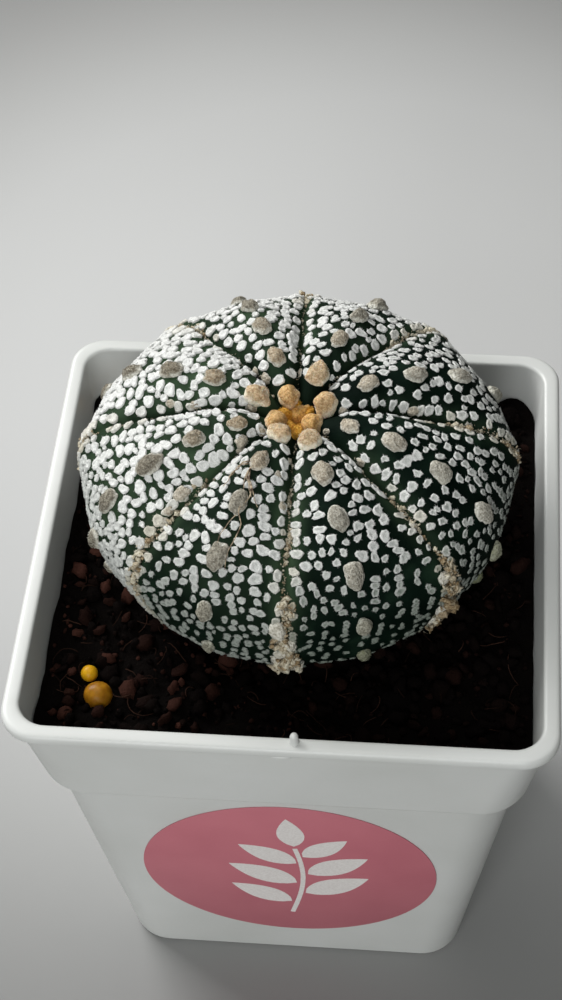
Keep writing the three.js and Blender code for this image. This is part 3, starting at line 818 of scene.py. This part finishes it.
def skin_point(rib, across, angle):
    """Places on the skin, from arrays of rib number, place across it and angle from straight up."""
    rib, across, angle = np.broadcast_arrays(rib, across, angle)
    first, last = SPANS[rib][..., 0], SPANS[rib][..., 1]
    turn = np.radians((first + last) / 2 + across * (last - first) / 2)
    share = across**2
    radius = smooth_knots(RIB_RADII, angle) * (1 - share) + smooth_knots(FURROW_RADII, angle) * share
    radius = radius * MM + skin_relief(rib, across, angle, turn)
    tilt = np.radians(angle)
    reach = radius * np.sin(tilt)
    height = CACTUS_CENTRE + radius * np.cos(tilt)
    return np.stack([reach * np.cos(turn), CACTUS_Y + reach * np.sin(turn), height], -1)


def skin_relief(rib, across, angle, turn):
    """The crease along each furrow, a swelling under each areole and an uneven surface."""
    from_furrow = (1 - np.abs(across)) * rib_half_width(rib, angle)
    depth = CREASE_DEPTH * smooth_step(4, 20, angle) * (1 - 0.75 * smooth_step(60, 85, angle))
    crease = depth * np.exp(-((from_furrow / (0.55 * MM)) ** 2))
    lips = LIP_RISE * smooth_step(15, 35, angle) * np.exp(-(((from_furrow - 1.5 * MM) / (0.9 * MM)) ** 2))
    from_middle = (across - areole_across(rib, angle)) * rib_half_width(rib, angle)
    first, step = np.array(AREOLE_FIRST, float)[rib], np.array(AREOLE_STEP, float)[rib]
    phase = (angle - first) / step
    near = (phase - np.round(phase)) * step
    swelling = SWELLING_RISE * np.exp(-((near / 5) ** 2) - (from_middle / (2.4 * MM)) ** 2)
    around = np.stack([np.cos(turn), np.sin(turn), np.asarray(angle) / 40], -1)
    uneven = UNEVEN_RISE * layered_noise(around, 0.35, 3, 5)
    return (lips + swelling * smooth_step(12, 30, angle) + uneven * smooth_step(5, 20, angle)) - crease


def skin_axes(rib, across, angle):
    """At each place: the point, down along the rib, across it and out of the skin."""
    point = skin_point(rib, across, angle)
    down = skin_point(rib, across, angle + 1.2) - skin_point(rib, across, angle - 1.2)
    side = skin_point(rib, across + 0.03, angle) - skin_point(rib, across - 0.03, angle)
    out = np.cross(down, side)
    out /= np.linalg.norm(out, axis=-1, keepdims=True)
    down /= np.linalg.norm(down, axis=-1, keepdims=True)
    side = np.cross(out, down)
    return point, down, side, out


def make_skin():
    """The skin over rows from the root to the crown, whose points stand closer beside the furrows."""
    t = np.linspace(-1, 1, SKIN_STEPS, endpoint=False) + 1 / SKIN_STEPS
    across = np.tile(1.25 * t - 0.25 * t**3, RIBS)
    rib = np.repeat(np.arange(RIBS), SKIN_STEPS)
    root = [176, 168, 160, 150, 142, 136]
    rows = np.concatenate([root, np.arange(131, 12, -0.9), np.arange(12, 2, -1.4)])
    angle = np.repeat(rows[:, None], len(across), 1)
    rings = skin_point(rib, across, angle)
    tone = np.concatenate([skin_tones(rings, rib, across, angle).ravel(), [0, 0]])
    skin = make_mesh("cactus_skin", *closed_rings(rings), skin_material(), tone)
    settle(skin, "cactus")


def skin_tones(points, rib, across, angle):
    """How pale the skin is: in bands beside the furrows and in patches, and more on the left as painted
    light; low on ribs that face away from the light it is darker, as painted shade.
    """
    from_furrow = (1 - np.abs(across)) * rib_half_width(rib, angle)
    left = left_share(rib)
    patch = np.clip(0.35 + 0.9 * layered_noise(points, 6 * MM, 3, 17), 0, 1)
    band = np.array(FURROW_BANDS)[np.where(across > 0, rib, (rib - 1) % RIBS)]
    tone = band * np.exp(-((from_furrow / (2 * MM)) ** 2)) * smooth_step(20, 45, angle) * (0.5 + patch)
    # Painted light: paler skin on ribs that face the left and the back
    tone = np.maximum(tone, patch**1.5 * (0.02 + 0.75 * left**2) + 0.36 * left**2)
    # Painted shade: darker skin low on ribs that face away from the light
    return tone * (1 - 0.9 * smooth_step(55, 88, angle) * dim_share(rib))


# Scales: the width and length of one in millimetres, the points of its outline, its rings as shares and
# heights in millimetres with how grey each is, the bristles round its rim, how many chains are thrown on a
# rib, and the angle where scales end
SCALE_WIDTH = 1.5
SCALE_LENGTH = 1.34
SCALE_POINTS = 14
SCALE_RINGS = ((1.0, -0.08, 0.3), (1.0, 0.08, 0.0), (0.8, 0.18, 0.0), (0.48, 0.1, 0.4), (0.0, 0.05, 0.6))
SCALE_SPIKES = 13
SCALE_THROWS = 4000
SCALE_LAST = 121


def scale_shapes(rng, axes, width, length, turn, ragged, thick):
    """Low felt pads with a ragged rim, a raised border and a lower middle, and the points of their rims."""
    point, down, side, out = (a[:, None, :] for a in axes)
    number = len(width)
    angles = np.linspace(0, 2 * math.pi, SCALE_POINTS, endpoint=False) + rng.uniform(0, 0.6, (number, 1))
    box = (np.abs(np.cos(angles)) ** 2.4 + np.abs(np.sin(angles)) ** 2.4) ** (-1 / 2.4)
    waves = 1 + 0.1 * np.sin(2 * angles + rng.uniform(0, 6, (number, 1)))
    waves += 0.08 * np.sin(3 * angles + rng.uniform(0, 6, (number, 1)))
    rough = box * waves * (1 + ragged[:, None] * rng.uniform(-1, 0.8, (number, SCALE_POINTS)))
    u = np.cos(angles) * rough * width[:, None] / 2
    v = np.sin(angles) * rough * length[:, None] / 2
    cosine, sine = np.cos(turn)[:, None], np.sin(turn)[:, None]
    u, v = (cosine * u - sine * v)[..., None], (sine * u + cosine * v)[..., None]
    rings = []
    for share, height, _ in SCALE_RINGS[:-1]:
        lift = thick * height * MM * rng.uniform(0.75, 1.25, (number, SCALE_POINTS, 1))
        rings.append(point + u * share * side + v * share * down + lift * out)
    middle = point + out * thick * SCALE_RINGS[-1][1] * MM
    return np.concatenate(rings + [middle], 1), rings[1]


def left_share(rib):
    """How far a rib faces the left and the back, where its scales are larger and closer, and where painted
    light makes its skin paler and its scales whiter.
    """
    return 0.5 + 0.5 * np.cos(np.radians(SPANS[rib].mean(-1) - 170))


def dim_share(rib):
    """How far a rib faces away from the light, where its low parts are dark and sparse."""
    return 0.5 + 0.5 * np.cos(np.radians(SPANS[rib].mean(-1) + 60))


def chain_starts(rng, rib):
    """Where chains of scales may start on a rib: along both furrows, then anywhere, even over the area."""
    rows = np.arange(24, SCALE_LAST - 3, 5.0)
    beside = np.repeat(rows, 2) + rng.uniform(-2, 2, 2 * len(rows))
    edge = 1 - 1.05 * MM / rib_half_width(rib, beside)
    low, high = math.cos(math.radians(SCALE_LAST)), math.cos(math.radians(20))
    anywhere = np.degrees(np.arccos(rng.uniform(low, high, SCALE_THROWS)))
    angle = np.concatenate([beside, anywhere])
    across = np.concatenate([edge * np.tile([-1, 1], len(rows)), rng.uniform(-1, 1, SCALE_THROWS)])
    return across, angle


def is_clear(placed, place, half, radius, spare):
    """Whether a scale stands clear of others; each is its place across the rib, angle, width and length."""
    wide = (place[2] + placed[:, 2]) / 2 + spare
    long = (place[3] + placed[:, 3]) / 2 + 0.6 * spare
    aside = (place[0] - placed[:, 0]) * half
    along = np.radians(place[1] - placed[:, 1]) * radius
    return bool(np.all((aside / wide) ** 2 + (along / long) ** 2 > 1))


def scale_chains(rng, rib):
    """One rib's scales: short chains, down it or across, clear of the areoles and of each other."""
    left, dim = left_share(rib), dim_share(rib)
    clear = (2.5 - 0.5 * left) * MM
    areoles = np.array([(areole_across(rib, a), a, clear, clear + 0.8 * MM) for a in areole_angles(rib)])
    placed = areoles
    starts = np.transpose(chain_starts(rng, rib))
    for share, (across, angle) in zip(np.linspace(1, 0.62, len(starts)), starts):
        radius = float(smooth_knots(RIB_RADII, angle)) * MM
        half = float(rib_half_width(rib, angle))
        low = float(smooth_step(55, 90, angle))
        under = float(smooth_step(82, 100, angle))
        lower = 1 - (0.2 + 0.25 * dim) * low
        spare = (0.24 * (1 - left) - 0.19 * left + dim * (0.56 * low + 0.7 * under)) * MM
        slant = rng.normal(0, 0.3) + (math.pi / 2 if rng.random() < 0.15 else 0)
        before = placed
        for _ in range(rng.integers(1, 5)):
            size = share * lower * MM
            width = (SCALE_WIDTH + 0.4 * left) * rng.uniform(0.62, 1.15) * size
            length = (SCALE_LENGTH + 0.25 * left) * rng.uniform(0.7, 1.15) * size
            place = (across, angle, width, length)
            on_rib = abs(across) * half + width / 2 < half - 0.15 * MM and angle < SCALE_LAST
            if not on_rib or not is_clear(before, place, half, radius, spare):
                break
            placed = np.concatenate([placed, [place]])
            step = (0.9 - 0.07 * left) * math.hypot(width * math.sin(slant), length * math.cos(slant))
            across += step * math.sin(slant) / half
            angle += math.degrees(step * math.cos(slant) / radius)
    return placed[len(areoles):]


def make_scales():
    rng = np.random.default_rng(12)
    fuzz_rng = np.random.default_rng(13)
    material = scale_material()
    count = len(SCALE_RINGS) - 1
    faces = np.concatenate([
        ring_faces(count, SCALE_POINTS),
        fan_faces((count - 1) * SCALE_POINTS + np.arange(SCALE_POINTS), count * SCALE_POINTS),
    ])
    grey = np.repeat([ring[2] for ring in SCALE_RINGS], [SCALE_POINTS] * count + [1])
    for name, ribs in (("front", (7, 0)), ("right", (1, 2)), ("back", (3, 4)), ("left", (5, 6))):
        pads, fuzz = Heap(), Heap()
        for rib in ribs:
            left = left_share(rib)
            across, angle, width, length = scale_chains(rng, rib).T
            number = len(across)
            axes = skin_axes(np.full(number, rib), across, angle)
            ragged = np.full(number, 0.2 - 0.13 * left)
            turn = rng.normal(0, 0.3, number)
            shapes, rims = scale_shapes(rng, axes, width, length, turn, ragged, 1 + 0.9 * left)
            tones = smooth_step(0.82, 0.95, np.abs(across)) * rng.uniform(0.0, 0.9, number)
            # Random greying of the scales, lessened on the left and back as painted light
            wear_and_painted_light = rng.uniform(0.6, 1.3, number) * (1 - 0.95 * left)
            # Painted shade: low scales on ribs that face away from the light turn grey
            low = (0.05 + 0.95 * smooth_step(58, 90, angle)) * dim_share(rib)
            pads.add_many(shapes, faces, tones, np.clip(grey[None] * wear_and_painted_light[:, None] + low[:, None], 0, 1))
            add_scale_fuzz(fuzz, fuzz_rng, axes, rims, tones, low)
        settle(pads.piece(f"scales_{name}", material), None)
        settle(fuzz.piece(f"scale_fuzz_{name}", material), None)


def add_scale_fuzz(heap, rng, axes, rims, tones, greys):
    """Short bristles round the rim of each scale."""
    point, _, _, out = (a[:, None, :] for a in axes)
    which = rng.integers(0, SCALE_POINTS, (len(rims), SCALE_SPIKES))
    part = rng.uniform(0, 1, (len(rims), SCALE_SPIKES, 1))
    rows = np.arange(len(rims))[:, None]
    start = rims[rows, which] * (1 - part) + rims[rows, (which + 1) % SCALE_POINTS] * part
    start = start * 0.9 + point * 0.1
    aim = start - point
    aim /= np.linalg.norm(aim, axis=-1, keepdims=True)
    aim = aim + out * rng.uniform(0.0, 0.9, part.shape) + rng.normal(0, 0.25, start.shape)
    # Each bristle takes its scale's tone and its painted shade
    tones, greys = np.repeat(tones, SCALE_SPIKES), np.repeat(greys, SCALE_SPIKES)
    lengths = rng.uniform(0.16, 0.36, len(tones)) * MM
    add_spikes(heap, rng, start.reshape(-1, 3), aim.reshape(-1, 3), lengths, 0.045 * MM, tones, greys)


SPIKE_FACES = np.array([(0, 1, 3), (1, 2, 3), (2, 0, 3), (0, 2, 1)])
HAIR_FACES = np.concatenate([ring_faces(2, 3), fan_faces([3, 4, 5], 6), [(0, 2, 1)]])


def hair_axes(rng, aim):
    """The aim at length one, and two directions across it."""
    aim = aim / np.linalg.norm(aim, axis=1, keepdims=True)
    aside = np.cross(aim, rng.normal(0, 1, aim.shape))
    aside /= np.linalg.norm(aside, axis=1, keepdims=True)
    return aim, aside, np.cross(aim, aside)


def hair_ring(aside, other, thick):
    turns = np.array([0, 2, 4]) * math.pi / 3
    ring = np.cos(turns)[None, :, None] * aside[:, None] + np.sin(turns)[None, :, None] * other[:, None]
    return ring * thick


def add_spikes(heap, rng, start, aim, length, thick, tones, shades=0.0):
    """Straight three-sided spikes."""
    aim, aside, other = hair_axes(rng, aim)
    base = start[:, None] + hair_ring(aside, other, thick)
    tip = (start + aim * length[:, None])[:, None]
    shades = np.broadcast_to(shades, len(start))[:, None]
    heap.add_many(np.concatenate([base, tip], 1), SPIKE_FACES, tones, shades)


def add_hairs(heap, rng, start, aim, length, thick, tones):
    """Three-sided hairs that taper and bend half way."""
    aim, aside, other = hair_axes(rng, aim)
    length = length[:, None]
    bend = start + aim * length * 0.55 + aside * length * 0.1
    tip = start + aim * length + aside * length * rng.uniform(0.05, 0.45, (len(start), 1))
    ring = hair_ring(aside, other, thick)
    points = np.concatenate([start[:, None] + ring, bend[:, None] + ring * 0.7, tip[:, None]], 1)
    heap.add_many(points, HAIR_FACES, tones)


# Areoles and crown wool

# Small tufts of wool beside the furrows: rib, place across it, angle from straight up and size in
# millimetres
WOOL_CHIPS = [
    (6, 0.8, 30.8, 0.8), (6, 0.9, 34, 0.5), (6, 0.7, 21.4, 0.6), (6, 0.86, 55.7, 0.85), (6, 0.9, 61, 0.65),
    (6, -0.92, 32.1, 0.55), (7, 0.64, 37.8, 0.45), (7, 0.88, 30.8, 0.4), (7, 0.84, 48.4, 0.5),
    (5, 0.8, 22.3, 0.65), (5, 0.86, 43.1, 0.5), (5, 0.8, 50.3, 0.5), (4, 0.9, 33.4, 0.55),
    (4, 0.82, 26.1, 0.65), (3, 0.94, 28.6, 0.5), (2, -0.84, 23.3, 0.55), (2, -0.88, 47.8, 0.6),
    (1, -0.68, 19.8, 0.45), (1, -0.9, 40, 0.5),
]

# Larger and whiter tufts low in the front furrows, in the same terms
FURROW_TUFTS = [
    (7, 0.96, 73, 0.8), (7, 0.93, 79, 1.05), (0, -0.95, 84, 0.95), (7, 0.95, 90, 1.0), (7, 0.9, 97, 1.35),
    (0, -0.92, 98, 1.3), (0, -0.96, 105, 1.1), (0, 0.95, 63, 0.55), (0, 0.93, 76, 0.8),
    (1, -0.96, 81, 0.75), (0, 0.94, 88, 1.0), (0, 0.97, 97, 1.1), (6, 0.96, 64, 0.6), (7, -0.95, 76, 0.7),
]

# Tufts in the hollow of the crown, in the same terms, and the size of the areoles round it
CENTRE_TUFTS = [
    (0, 0.3, 4, 0.85), (3, -0.2, 5, 0.9), (5, 0.1, 9, 0.95), (1, -0.6, 9, 0.8), (6, 0.4, 7, 0.8),
    (2, 0.5, 10, 0.7), (4, -0.7, 12, 0.6), (7, 0.7, 11, 0.7), (0, -0.5, 12, 0.7), (7, -0.2, 9, 0.8),
]
CROWN_AREOLE = 1.3


class Felt(NamedTuple):
    """One kind of tuft: its fineness, unevenness and lump size, and its hairs' number, sizes and reach."""

    detail: int
    rough: float
    lump: float
    hairs: int
    length: float
    thick: float
    reach: float = 1.0


AREOLE_FELT = Felt(4, 0.34, 0.62, 150, 0.22 * MM, 0.022 * MM)
CHIP_FELT = Felt(3, 0.6, 0.7, 50, 0.22 * MM, 0.022 * MM)
CROWN_FELT = Felt(4, 0.42, 0.85, 260, 0.32 * MM, 0.024 * MM, 0.98)

# Half the width, half the length and the height of each kind: the areoles in metres, and the others as
# shares of their size
AREOLE_SIZE = np.array([1.2, 1.68, 1.1]) * MM
CHIP_SHAPE = np.array([1, 1.2, 0.75])
CROWN_SHAPE = np.array([1.06, 1.15, 0.98])


def skin_spot(rib, across, angle):
    """A place on the skin, and its directions across the rib, down it and out."""
    point, down, side, out = skin_axes(np.array(rib), np.array(across), np.array(angle))
    return point, np.array([side, down, out])


def add_tuft(felt, hair, rng, kind, centre, axes, size, tone, cover):
    """A round felt mound with a flared skirt, and its hairs; its shade is cover on top, 0 on the skirt."""
    base, faces = ball_template(kind.detail)
    lumps = layered_noise(base + rng.uniform(-50, 50, 3), kind.lump, 3, 3)
    flare = 1 + 0.1 * smooth_step(0.5, 0.0, base[:, 2])
    local = base * (flare * (1 + kind.rough * lumps))[:, None] * size
    felt.add(centre + local @ axes, faces, tone, cover * smooth_step(0.0, 0.5, base[:, 2] + 0.35 * lumps))
    local = rng.normal(0, 1, (kind.hairs, 3))
    local[:, 2] = np.abs(local[:, 2]) * 0.9 + 0.05
    local /= np.linalg.norm(local, axis=1, keepdims=True)
    aim = local @ axes
    start = centre + (local * size * kind.reach) @ axes - aim * 0.1 * MM
    aim = aim + rng.normal(0, 0.4, (kind.hairs, 3))
    add_hairs(hair, rng, start, aim, kind.length * rng.uniform(0.5, 1.2, kind.hairs), kind.thick, tone)


def make_areoles():
    rng = np.random.default_rng(5)
    felt, hair = Heap(), Heap()
    for rib in range(RIBS):
        left = left_share(rib)
        for angle in areole_angles(rib):
            if angle < CROWN_EDGE:
                continue
            point, axes = skin_spot(rib, areole_across(rib, angle), angle)
            young = 1 - float(smooth_step(24, 52, angle))
            old = float(smooth_step(66, 98, angle))
            size = AREOLE_SIZE * rng.uniform(0.9, 1.08) * (1 - 0.14 * young - 0.25 * old)
            # Low areoles turn weathered green, partly as painted shade, but not on the lit left
            tone = 0.8 * young - old * (1 - left) + rng.uniform(0, 0.1)
            centre = point + axes[2] * 0.1 * MM
            add_tuft(felt, hair, rng, AREOLE_FELT, centre, axes, size, tone, 0.6 + 0.38 * left)
    for chips, cover in ((WOOL_CHIPS, 0.55), (FURROW_TUFTS, 0.2)):
        for rib, across, angle, radius in chips:
            point, axes = skin_spot(rib, across, angle)
            add_tuft(felt, hair, rng, CHIP_FELT, point, axes, CHIP_SHAPE * radius * MM, 0.75, cover)
    material = felt_material()
    settle(felt.piece("areole_felt", material), None)
    settle(hair.piece("areole_hair", material), None)


def make_crown():
    rng = np.random.default_rng(9)
    wool, hair = Heap(), Heap()
    places = list(CENTRE_TUFTS)
    for rib in range(RIBS):
        tufts = [angle for angle in areole_angles(rib) if angle < CROWN_EDGE]
        places += [(rib, float(areole_across(rib, angle)), angle, CROWN_AREOLE) for angle in tufts]
    for rib, across, angle, radius in places:
        point, (side, _, out) = skin_spot(rib, across, float(angle))
        out = out * 0.6 + np.array([0, 0, 0.4])
        out /= np.linalg.norm(out)
        axes = np.array([side, np.cross(side, out), out])
        tone = 0.25 + 0.75 * float(smooth_step(7, 21, angle)) if radius == CROWN_AREOLE else 0.0
        size = CROWN_SHAPE * radius * MM
        add_tuft(wool, hair, rng, CROWN_FELT, point + out * 0.5 * MM, axes, size, tone, 0.85)
    material = wool_material()
    settle(wool.piece("crown_tufts", material), "crown_wool")
    settle(hair.piece("crown_hair", material), None)


# Furrow cork and dried strands

# Clumps of dried wool in the furrows: the furrow, which follows the rib of the same number, the angle from
# straight up, the spread in degrees and the thickness in millimetres
CORK_CLUMPS = [
    (0, 61, 4, 0.7), (0, 77, 5, 1.0), (0, 88, 7, 1.2), (0, 100, 6, 1.0), (7, 47, 4, 0.35), (7, 60, 4, 0.5),
    (7, 73, 3, 1.0), (7, 82, 4, 0.8), (7, 96, 8, 1.7), (6, 50, 4, 0.35), (6, 63, 6, 0.5), (6, 76, 7, 0.75),
    (1, 62, 5, 0.5), (1, 76, 6, 0.7), (2, 58, 5, 0.5), (2, 72, 5, 0.6), (3, 71, 5, 0.6), (4, 66, 6, 0.5),
    (5, 42, 5, 0.4), (5, 80, 6, 0.7),
]

# The bits of cork: how finely each is divided, how many are thrown, their least size and its growth on the
# clumps, in millimetres; and how many fibres are thrown
CORK_BITS = [(1, 11000, 0.07, 0.22), (2, 3700, 0.15, 0.36)]
CORK_FIBRES = 5000


def cork_thickness(furrow, angle):
    """How thick the dried wool lies in a furrow: a thin strip, lumps near the crown and the clumps."""
    thick = 0.05 + 0.06 * np.sin(0.9 * angle + 2 * furrow) ** 2
    for place, middle, spread, height in CORK_CLUMPS:
        thick = thick + height * (furrow == place) * np.exp(-(((angle - middle) / spread) ** 2))
    return thick


def furrow_places(rng, count):
    """Random places along the furrows: the rib beside, place across, angle and thickness of the wool."""
    furrow = rng.integers(0, RIBS, count)
    angle = rng.uniform(18, 112, count)
    thick = cork_thickness(furrow, angle)
    kept = rng.random(count) < thick / 1.4
    furrow, angle, thick = furrow[kept], angle[kept], thick[kept]
    number = len(angle)
    spread = (0.12 + 0.75 * thick) * MM
    wander = 0.3 * MM * np.sin(0.37 * angle + 1.7 * furrow) + rng.normal(0, 0.6, number) * spread
    low_side = wander < 0
    rib = np.where(low_side, furrow, (furrow + 1) % RIBS)
    aside = np.minimum(np.abs(wander) / rib_half_width(rib, angle), 0.6)
    return rib, np.where(low_side, 1 - aside, aside - 1), angle, thick


def make_cork():
    rng = np.random.default_rng(21)
    heap = Heap()
    for detail, count, small, large in CORK_BITS:
        rib, across, angle, clump = furrow_places(rng, count)
        point, _, _, out = skin_axes(rib, across, angle)
        number = len(rib)
        size = (small + large * clump * rng.random(number)) * MM
        lift = rng.uniform(-0.1, 0.75, number) * clump * MM
        local, faces = broken_bits(rng, detail, number, (0.35, 1.8), (0.5, 1.45))
        shapes = (point + out * lift[:, None])[:, None] + local * size[:, None, None]
        cream = np.clip(rng.uniform(0.0, 1.5, number) - 0.5 * smooth_step(55, 80, angle) * (rib < 2), 0, 1)
        heap.add_many(shapes, faces, cream)
    rib, across, angle, clump = furrow_places(rng, CORK_FIBRES)
    point, _, _, out = skin_axes(rib, across, angle)
    number = len(rib)
    aim = out + rng.normal(0, 0.7, (number, 3))
    start = point + out * (0.4 * clump * MM)[:, None]
    add_spikes(heap, rng, start, aim, (0.3 + 0.35 * clump) * MM, 0.04 * MM, rng.uniform(0.3, 1, number))
    settle(heap.piece("furrow_cork", cork_material()), None)


def tube(heap, path, radii, sides=6, tone=0.0):
    """A closed tube along a path of points."""
    path = np.asarray(path)
    along = np.gradient(path, axis=0)
    along /= np.linalg.norm(along, axis=1, keepdims=True)
    side = np.cross(along, [0.3, 0.2, 1.0])
    side /= np.linalg.norm(side, axis=1, keepdims=True)
    other = np.cross(along, side)
    turns = np.linspace(0, 2 * math.pi, sides, endpoint=False)
    round_path = np.cos(turns)[:, None] * side[:, None] + np.sin(turns)[:, None] * other[:, None]
    points, faces = closed_rings(path[:, None] + radii[:, None, None] * round_path)
    heap.add(points, faces, tone)


# Each dried strand on the front left rib, as places across the rib and angles from straight up
STRANDS = [
    [(-0.07, 38), (-0.01, 42), (0.13, 44), (0.19, 46.5), (0.15, 49), (0.09, 52), (0.02, 55), (-0.03, 58),
     (-0.02, 61)],
    [(-0.06, 38), (-0.03, 41), (0.1, 43), (0.25, 46.4), (0.37, 49.5)],
    [(-0.08, 39), (-0.03, 43), (0.05, 46)],
    [(0.14, 47), (0.1, 51), (0.17, 53.5), (0.21, 55), (0.19, 59), (0.15, 62), (0.18, 66)],
    [(-0.15, 36), (-0.3, 38), (-0.37, 41), (-0.39, 44), (-0.37, 47)],
    [(-0.18, 37), (-0.34, 39.5), (-0.42, 44)],
    [(-0.04, 39), (0.04, 42), (0.13, 45), (0.22, 47)],
]
STRAND_RIB = 7
STRAND_STEPS = 40


def make_strands():
    rng = np.random.default_rng(3)
    heap = Heap()
    for strand in STRANDS:
        knots = np.array(strand, float)
        t = np.linspace(0, len(knots) - 1, STRAND_STEPS)
        across = smooth_knots(list(enumerate(knots[:, 0])), t)
        angle = smooth_knots(list(enumerate(knots[:, 1])), t)
        point, _, _, out = skin_axes(np.full(STRAND_STEPS, STRAND_RIB), across, angle)
        lift = (0.4 + 0.35 * np.abs(np.sin(t * 1.9))) * MM
        radii = np.linspace(0.1, 0.05, STRAND_STEPS) * MM
        tube(heap, point + out * lift[:, None], radii, tone=rng.uniform(0, 1))
    settle(heap.piece("dried_strands", strand_material()), None)


# Soil

# Each prill's place and radius in millimetres, and how dull it is
PRILLS = [(-24.9, -24, 2, 1.0), (-26.5, -20.9, 1.2, 0.0), (-28.9, 28.9, 1.8, 0.6)]

# Crumbs: how many are thrown and kept at most, the radius under which they are fine, and the plant's room
CRUMB_THROWS = 4200
CRUMB_COUNT = 2000
FINE_CRUMB = 0.45 * MM
PLANT_ROOM = 20.5 * MM

# Rootlets: how many are thrown, and the points along each
ROOTLETS = 260
ROOTLET_POINTS = 9


def soil_ripple(x, y):
    """The same gentle lumps as the solid's, in metres."""
    x, y = x / MM, y / MM
    broad = np.sin(0.31 * x + 0.17 * y + 1.2) * np.cos(0.23 * y - 0.12 * x)
    middle = np.sin(0.71 * x - 0.43 * y + 0.4)
    fine = np.cos(1.07 * y + 0.66 * x + 2.1)
    return 0.45 * MM * (broad + 0.6 * middle + 0.5 * fine)


def soil_height(x, y):
    points = np.stack([x, y, np.zeros_like(x)], -1)
    rough = 0.75 * MM * layered_noise(points, 2.2 * MM, 3, 11)
    return POT_HEIGHT - SOIL_DEPTH + soil_ripple(x, y) + rough


def make_soil_bed():
    """The peat: a plug with a rough top, whose middle hides under the plant."""
    edge = rounded_square(inner_half(SOIL_DEPTH) - GAP / 2, LIP_CORNER - LIP_WIDTH + 1.4 * MM, 0, 16)
    wall = []
    for k, start in enumerate(edge):
        side = edge[(k + 1) % len(edge)] - start
        pieces = 40 if np.linalg.norm(side) > 5 * MM else 1
        wall += [start + side * j / pieces for j in range(pieces)]
    wall = np.array(wall)
    rings = []
    below_step = COLLAR_DEPTH + COLLAR_STEP
    for depth, lift in ((POT_HEIGHT - FLOOR_THICK, GAP), (below_step, 0), (COLLAR_DEPTH, 0)):
        share = inner_half(depth) / inner_half(SOIL_DEPTH)
        rings.append(wall * [share, share, 0] * 0.99 + [0, 0, POT_HEIGHT - depth + lift])
    for share in np.linspace(1, 0.45, 60):
        ring = wall * share
        ring[:, 2] = soil_height(ring[:, 0], ring[:, 1])
        rings.append(ring)
    material = peat_material("peat", (0.0025, 0.0018, 0.0016), (0.006, 0.003, 0.0025))
    settle(loft_piece("soil_bed", rings, material), "soil")


def make_crumbs():
    """Angular bits of peat over the bed, the coarse ones reddish."""
    rng = np.random.default_rng(31)
    reach = inner_half(SOIL_DEPTH) - GAP
    x, y = rng.uniform(-reach, reach, (2, CRUMB_THROWS))
    radius = (0.28 + 0.95 * rng.random(len(x)) ** 4) * MM
    inside = (np.maximum(np.abs(x), np.abs(y)) + 1.3 * radius < reach) & (np.hypot(x, y) < 1.32 * reach)
    kept = inside & (np.hypot(x, y - CACTUS_Y) > PLANT_ROOM)
    x, y, radius = x[kept][:CRUMB_COUNT], y[kept][:CRUMB_COUNT], radius[kept][:CRUMB_COUNT]
    heap = Heap()
    for detail, chosen in ((1, radius < FINE_CRUMB), (2, radius >= FINE_CRUMB)):
        add_crumbs(heap, rng, detail, x[chosen], y[chosen], radius[chosen])
    material = peat_material("peat_crumb", (0.0034, 0.0022, 0.002), (0.09, 0.036, 0.026))
    settle(heap.piece("soil_crumbs", material), None)
    make_rootlets(rng, reach)


def add_crumbs(heap, rng, detail, x, y, radius):
    """Crumbs with few or more faces; towards the right their reddish share fades, as painted shade."""
    local, faces = broken_bits(rng, detail, len(x), (0.55, 1.45), (0.72, 1.28))
    centre = np.stack([x, y, soil_height(x, y) + 0.3 * radius], -1)
    # Painted shade: crumbs on the right are darker
    painted_light_share = 1 - 0.8 * smooth_step(-12 * MM, 12 * MM, x)
    shapes = centre[:, None] + local * radius[:, None, None]
    heap.add_many(shapes, faces, rng.random(len(x)) ** 5 * painted_light_share)


def make_rootlets(rng, reach):
    """Fine rootlets that lie on the peat."""
    heap = Heap()
    for _ in range(ROOTLETS):
        x, y = rng.uniform(-reach, reach, 2) * 0.95
        if math.hypot(x, y - CACTUS_Y) < PLANT_ROOM + 0.5 * MM:
            continue
        heading = rng.uniform(0, 6.3)
        along = np.linspace(0, rng.uniform(1.5, 4.5) * MM, ROOTLET_POINTS)
        bend = rng.uniform(-0.35, 0.35) * np.linspace(0, 4, ROOTLET_POINTS)
        px = np.clip(x + along * np.cos(heading + bend), -0.97 * reach, 0.97 * reach)
        py = np.clip(y + along * np.sin(heading + bend), -0.97 * reach, 0.97 * reach)
        pz = soil_height(px, py) + (0.35 + 0.5 * np.sin(np.linspace(0, 3, ROOTLET_POINTS))) * MM
        radii = np.linspace(0.09, 0.04, ROOTLET_POINTS) * MM
        tube(heap, np.stack([px, py, pz], -1), radii, 5, rng.random())
    material = peat_material("peat_fibre", (0.004, 0.0025, 0.002), (0.07, 0.035, 0.024))
    settle(heap.piece("soil_fibres", material), None)


def make_prills():
    material = prill_material()
    base, faces = ball_template(4)
    for k, (x, y, radius, dull) in enumerate(PRILLS):
        x, y, radius = x * MM, y * MM, radius * MM
        lumps = layered_noise(base + k * 7, 0.8, 3, 2)
        height = POT_HEIGHT - SOIL_DEPTH + float(soil_ripple(np.array(x), np.array(y))) + radius / 3
        points = base * (0.96 + 0.07 * lumps[:, None]) * radius + [x, y, height]
        prill = make_mesh(f"prill_coat_{k + 1}", points, faces, material, np.full(len(base), dull))
        settle(prill, f"prill_{k + 1}")


add_camera()
add_light()
add_table()
make_pot()
make_label()
make_soil_bed()
make_crumbs()
make_prills()
make_skin()
make_scales()
make_areoles()
make_crown()
make_cork()
make_strands()
